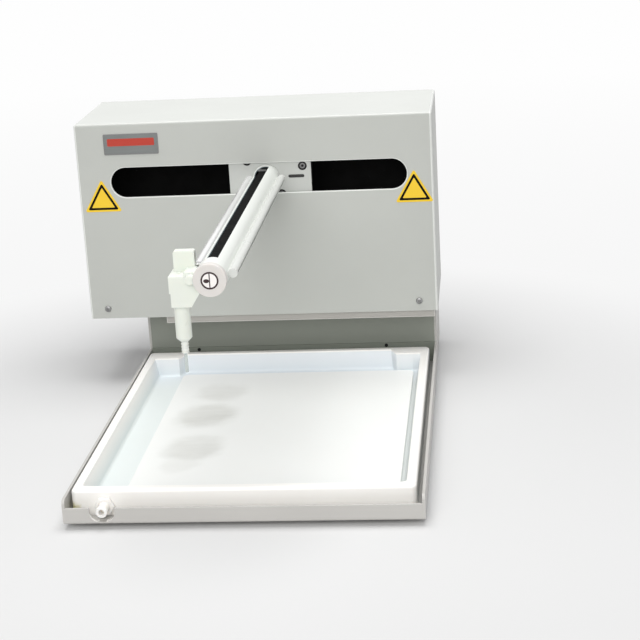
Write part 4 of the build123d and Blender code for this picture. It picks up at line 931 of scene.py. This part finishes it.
def arm_shell():
    """The arm's tube with its seams closed, so that its round sides shade as one."""
    bm = bmesh.new()
    bm.from_mesh(frame["nodes"]["arm_tube"].data)
    bmesh.ops.remove_doubles(bm, verts=bm.verts, dist=WELD)
    piece("arm_shell", bm, ["arm_paint"], "arm_tube")


def shaft_end_cap():
    """The white cap on the guide shaft's front end."""
    low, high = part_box("arm_shaft")
    middle = (low + high) / 2
    radius = (high.x - low.x) / 2
    bm = bmesh.new()
    turned(bm, (middle.x, low.y, middle.z), "front", (
        (radius + 0.12 * MM, -4.2 * MM), (radius + 0.25 * MM, -3.9 * MM), (radius + 0.25 * MM, -0.1 * MM),
        (radius, 0.15 * MM), (radius * 0.6, 0.2 * MM),
    ))
    piece("shaft_end_cap", bm, ["head_plastic"], "arm_shaft", replaced=False)


def rail_channel():
    """The tubing rail: a round bored channel on a short web.

    It is slit along its outer side, and its front end is closed.
    """
    low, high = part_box("tubing_rail")
    tube_low, tube_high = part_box("arm_tube")
    axis_x, axis_z = tube_high.x - TUBE_RADIUS, (tube_low.z + tube_high.z) / 2
    middle = (low.z + high.z) / 2
    outer = (high.z - low.z) / 2
    centre_x = high.x - outer
    slit = math.asin(RAIL_HALF_SLIT / outer)
    join = math.pi - math.asin(RAIL_HALF_WEB / outer)
    upper = arc(centre_x, middle, outer, slit, join, 20)
    lower = [(x, 2 * middle - z) for x, z in reversed(upper)]
    root_x = axis_x + math.sqrt(TUBE_RADIUS ** 2 - (abs(middle - axis_z) + RAIL_HALF_WEB) ** 2)
    root = [(root_x, middle + RAIL_HALF_WEB), (root_x, middle - RAIL_HALF_WEB)]
    inner_slit = math.asin(RAIL_HALF_SLIT / RAIL_BORE)
    bore = arc(centre_x, middle, RAIL_BORE, -inner_slit, inner_slit - 2 * math.pi, 24)
    wall_y = low.y + RAIL_CLOSED_END
    bm = bmesh.new()
    slab(bm, upper + root + lower, low.y, wall_y)
    slab(bm, upper + root + lower + bore, wall_y, high.y)
    piece("rail_channel", bm, [material_name("tubing_rail")], "tubing_rail")


def belt_guide():
    """The small bright guide over the belt at the opening's rear end."""
    low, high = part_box("arm_belt")
    x0, x1 = low.x - 1.0 * MM, high.x - 0.4 * MM
    plate_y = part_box("carriage_plate")[0].y
    z0, z1 = high.z + 0.2 * MM, high.z + 1.0 * MM
    bm = bmesh.new()
    outline = rounded_polygon(rectangle(x0, x1, z0, z1), 0.35 * MM)
    slab(bm, outline, plate_y - 9.0 * MM, plate_y + 1.0 * MM)
    piece("belt_guide", bm, ["worn_metal"], "arm_tube", replaced=False)


def data_pins():
    """The data socket's dark insulator with nine pins, and the two threaded posts."""
    low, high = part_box("data_socket")
    middle_x = (low.x + high.x) / 2
    half_wide, half_tall = 7.85 * MM, 3.6 * MM
    pin_pitch, row_lift = 2.77 * MM, 1.42 * MM
    post_reach, post = 12.5 * MM, hexagon(4.8 * MM)
    floor_y, post_y = high.y - 5.2 * MM, high.y - 5.0 * MM
    bm = bmesh.new()
    face = rectangle(middle_x - half_wide, middle_x + half_wide, SOCKET_Z - half_tall, SOCKET_Z + half_tall)
    slab(bm, rounded_polygon(face, 1.4 * MM), floor_y - 0.2 * MM, floor_y + 0.4 * MM)
    for row, count in ((1, 5), (-1, 4)):
        for i in range(count):
            x = middle_x + (i - (count - 1) / 2) * pin_pitch
            turned(bm, (x, floor_y, SOCKET_Z + row * row_lift), "back", (
                (0.5 * MM, 0.0), (0.5 * MM, 4.0 * MM), (0.25 * MM, 4.6 * MM)), 16, 1)
    for side in (-1, 1):
        turned(bm, (middle_x + side * post_reach, post_y, SOCKET_Z), "back", (
            (post, 0.0), (post, 4.4 * MM), (2.1 * MM, 4.8 * MM),
            (1.3 * MM, 4.8 * MM), (1.2 * MM, 1.0 * MM)), 48, 2)
    piece("data_pins", bm, ["insulator", "pin_gold", "worn_metal"], "data_socket", replaced=False)


def inlet_pins():
    """The four contacts of the round power inlet."""
    low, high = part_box("power_inlet")
    middle = (low + high) / 2
    floor_y = high.y - 8.0 * MM
    pin_reach, pin_lift = 1.7 * MM, 1.5 * MM
    bm = bmesh.new()
    for side in (-1, 1):
        for lift in (-1, 1):
            turned(bm, (middle.x + side * pin_reach, floor_y, middle.z + lift * pin_lift), "back", (
                (0.55 * MM, -0.1 * MM), (0.55 * MM, 5.0 * MM), (0.3 * MM, 5.6 * MM)), 16)
    piece("inlet_pins", bm, ["pin_gold"], "power_inlet", replaced=False)


def slot_rim():
    """A test that picks points on the front rim of the cover's slot."""
    low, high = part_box("housing_cover")
    slot_low, slot_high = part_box("carriage_plate")

    def picked(point):
        front = abs(point.y - low.y) < ON_FACE
        across = low.x + SLOT_SIDE_MARGIN < point.x < high.x - SLOT_SIDE_MARGIN
        return front and across and slot_low.z - SLOT_EDGE_MARGIN < point.z < slot_high.z + SLOT_EDGE_MARGIN

    return picked


def dress_shapes():
    rounded_copy("housing_cover", 0.5 * MM, 3, edge="cover_edge", rim=(0.8 * MM, slot_rim()))
    rounded_copy("base_pan", 0.5 * MM, 3, edge="pan_edge")
    rounded_copy("spill_tray", 0.7 * MM, 3, foot=(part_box("tray_insert")[0].z, 2.0 * MM))
    rounded_copy("tray_insert", 0.4 * MM)
    rounded_copy("cross_beam", 0.5 * MM, edge="beam_edge")
    for node, width, segments in ROUNDED:
        rounded_copy(node, width * MM, segments)
    arm_shell()
    shaft_end_cap()
    rail_channel()
    screws_piece("cover_screw_heads", "cover_screws", "front", SCREW_HEAD, SCREW_RADIUS)
    screws_piece(
        "stop_screw_heads", "stop_screws", "front", STOP_SCREW_HEAD, STOP_SCREW_RADIUS, "dark_screw"
    )
    screws_piece("rear_screw_heads", "rear_screws", "back", SCREW_HEAD, SCREW_RADIUS)
    carriage_screw_heads()
    tooth_belt("arm_belt_toothed", "arm_belt", "arm_belt_rubber", 1)
    tooth_belt("cross_belt_toothed", "cross_belt", "cross_belt_rubber", 0)
    stickers()
    badge()
    cap_mark()
    grip_knob()
    drip_tube()
    drain_fitting()
    belt_guide()
    data_pins()
    inlet_pins()


def dress_nodes():
    """Gives each CAD node its material, whether or not a piece stands in for it."""
    for name, node in frame["nodes"].items():
        node.data.materials.clear()
        node.data.materials.append(MATERIALS[material_name(name)])
        smooth(node.data)


def seen_rays(tree):
    """One for what the camera sees, also in mirrors and through clear pieces, and nought for light."""
    path = tree.nodes.new("ShaderNodeLightPath")
    seen = path.outputs["Is Camera Ray"]
    for kind in ("Is Glossy Ray", "Is Transmission Ray"):
        most = tree.nodes.new("ShaderNodeMath")
        most.operation = "MAXIMUM"
        tree.links.new(seen, most.inputs[0])
        tree.links.new(path.outputs[kind], most.inputs[1])
        seen = most.outputs["Value"]
    return seen


def mix_shaders(tree, share, first, second, target):
    """Feeds a target with one shader, and with another by a share."""
    mix = tree.nodes.new("ShaderNodeMixShader")
    for socket, value in zip(mix.inputs, (share, first, second)):
        tree.links.new(value, socket)
    tree.links.new(mix.outputs[0], target)


def make_stage():
    """A pale floor that keeps the shadow near the object and fades to white further away."""
    bm = bmesh.new()
    corners = ((-1, -1), (1, -1), (1, 1), (-1, 1))
    bm.faces.new([bm.verts.new((x * FLOOR_HALF, y * FLOOR_HALF, 0)) for x, y in corners])
    mesh = bpy.data.meshes.new("floor")
    bm.to_mesh(mesh)
    bm.free()
    g = Graph("floor_pale")
    tone = g.blend(g.noise(1.2, 2.0), grey(219), grey(223))
    g.finish(Base_Color=tone, Roughness=0.85)
    behind = g.distance_to((0, FADE_PLANE, 0), (0, 1, 0))
    middle = g.blend(g.spread(behind, *FADE_MIDDLE), grey(239), grey(245))
    far = g.blend(g.spread(behind, *FADE_FAR), middle, grey(254))
    shine = g.node("ShaderNodeEmission")
    g.feed(shine, Color=far, Strength=1.0)
    away = g.spread(g.distance_to((0, 0, 0)), *SHADOW_END, 0.0, 1.0, "SMOOTHSTEP")
    share = g.combine("MULTIPLY", seen_rays(g.tree), away)
    surface = g.output.inputs["Surface"]
    mix_shaders(g.tree, share, g.shader.outputs["BSDF"], shine.outputs["Emission"], surface)
    mesh.materials.append(g.material)
    floor = bpy.data.objects.new("floor", mesh)
    bpy.context.scene.collection.objects.link(floor)


def make_world():
    """Soft light from all round, and plain white where the camera looks past the floor."""
    world = bpy.data.worlds.new("studio")
    bpy.context.scene.world = world
    world.use_nodes = True
    tree = world.node_tree
    tree.nodes.clear()
    shades = []
    for colour, strength in ((AMBIENT_COLOUR, AMBIENT), ((1, 1, 1, 1), 1.0)):
        shade = tree.nodes.new("ShaderNodeBackground")
        shade.inputs["Color"].default_value = colour
        shade.inputs["Strength"].default_value = strength
        shades.append(shade.outputs[0])
    output = tree.nodes.new("ShaderNodeOutputWorld")
    mix_shaders(tree, seen_rays(tree), *shades, output.inputs["Surface"])


def make_lamps():
    for name, place, target, size, power, colour in LAMPS:
        data = bpy.data.lights.new(name, "AREA")
        data.shape = "DISK"
        data.size = size
        data.energy = power
        data.color = colour
        lamp = bpy.data.objects.new(name, data)
        lamp.location = place
        lamp.rotation_mode = "QUATERNION"
        lamp.rotation_quaternion = (Vector(target) - Vector(place)).to_track_quat("-Z", "Y")
        bpy.context.scene.collection.objects.link(lamp)


def make_camera():
    """The camera of the photograph, from its turn as an axis times an angle."""
    turn = Vector(CAMERA_TURN)
    upright = Matrix(((1, 0, 0), (0, 0, -1), (0, 1, 0)))
    to_lens = upright @ Matrix.Rotation(turn.length, 3, turn.normalized())
    flip = Matrix(((1, 0, 0), (0, -1, 0), (0, 0, -1)))
    data = bpy.data.cameras.new("camera")
    data.sensor_width = SENSOR_WIDTH
    data.lens = FOCAL_PIXELS / IMAGE_SIDE * SENSOR_WIDTH
    data.clip_start = 0.05
    data.clip_end = 60.0
    camera = bpy.data.objects.new("camera", data)
    camera.matrix_world = Matrix.Translation(CAMERA_PLACE) @ (to_lens.transposed() @ flip).to_4x4()
    bpy.context.scene.collection.objects.link(camera)
    bpy.context.scene.camera = camera


make_materials()
make_camera()
make_world()
make_lamps()
make_stage()
bpy.context.scene.view_settings.view_transform = "Standard"
dress_nodes()
dress_shapes()
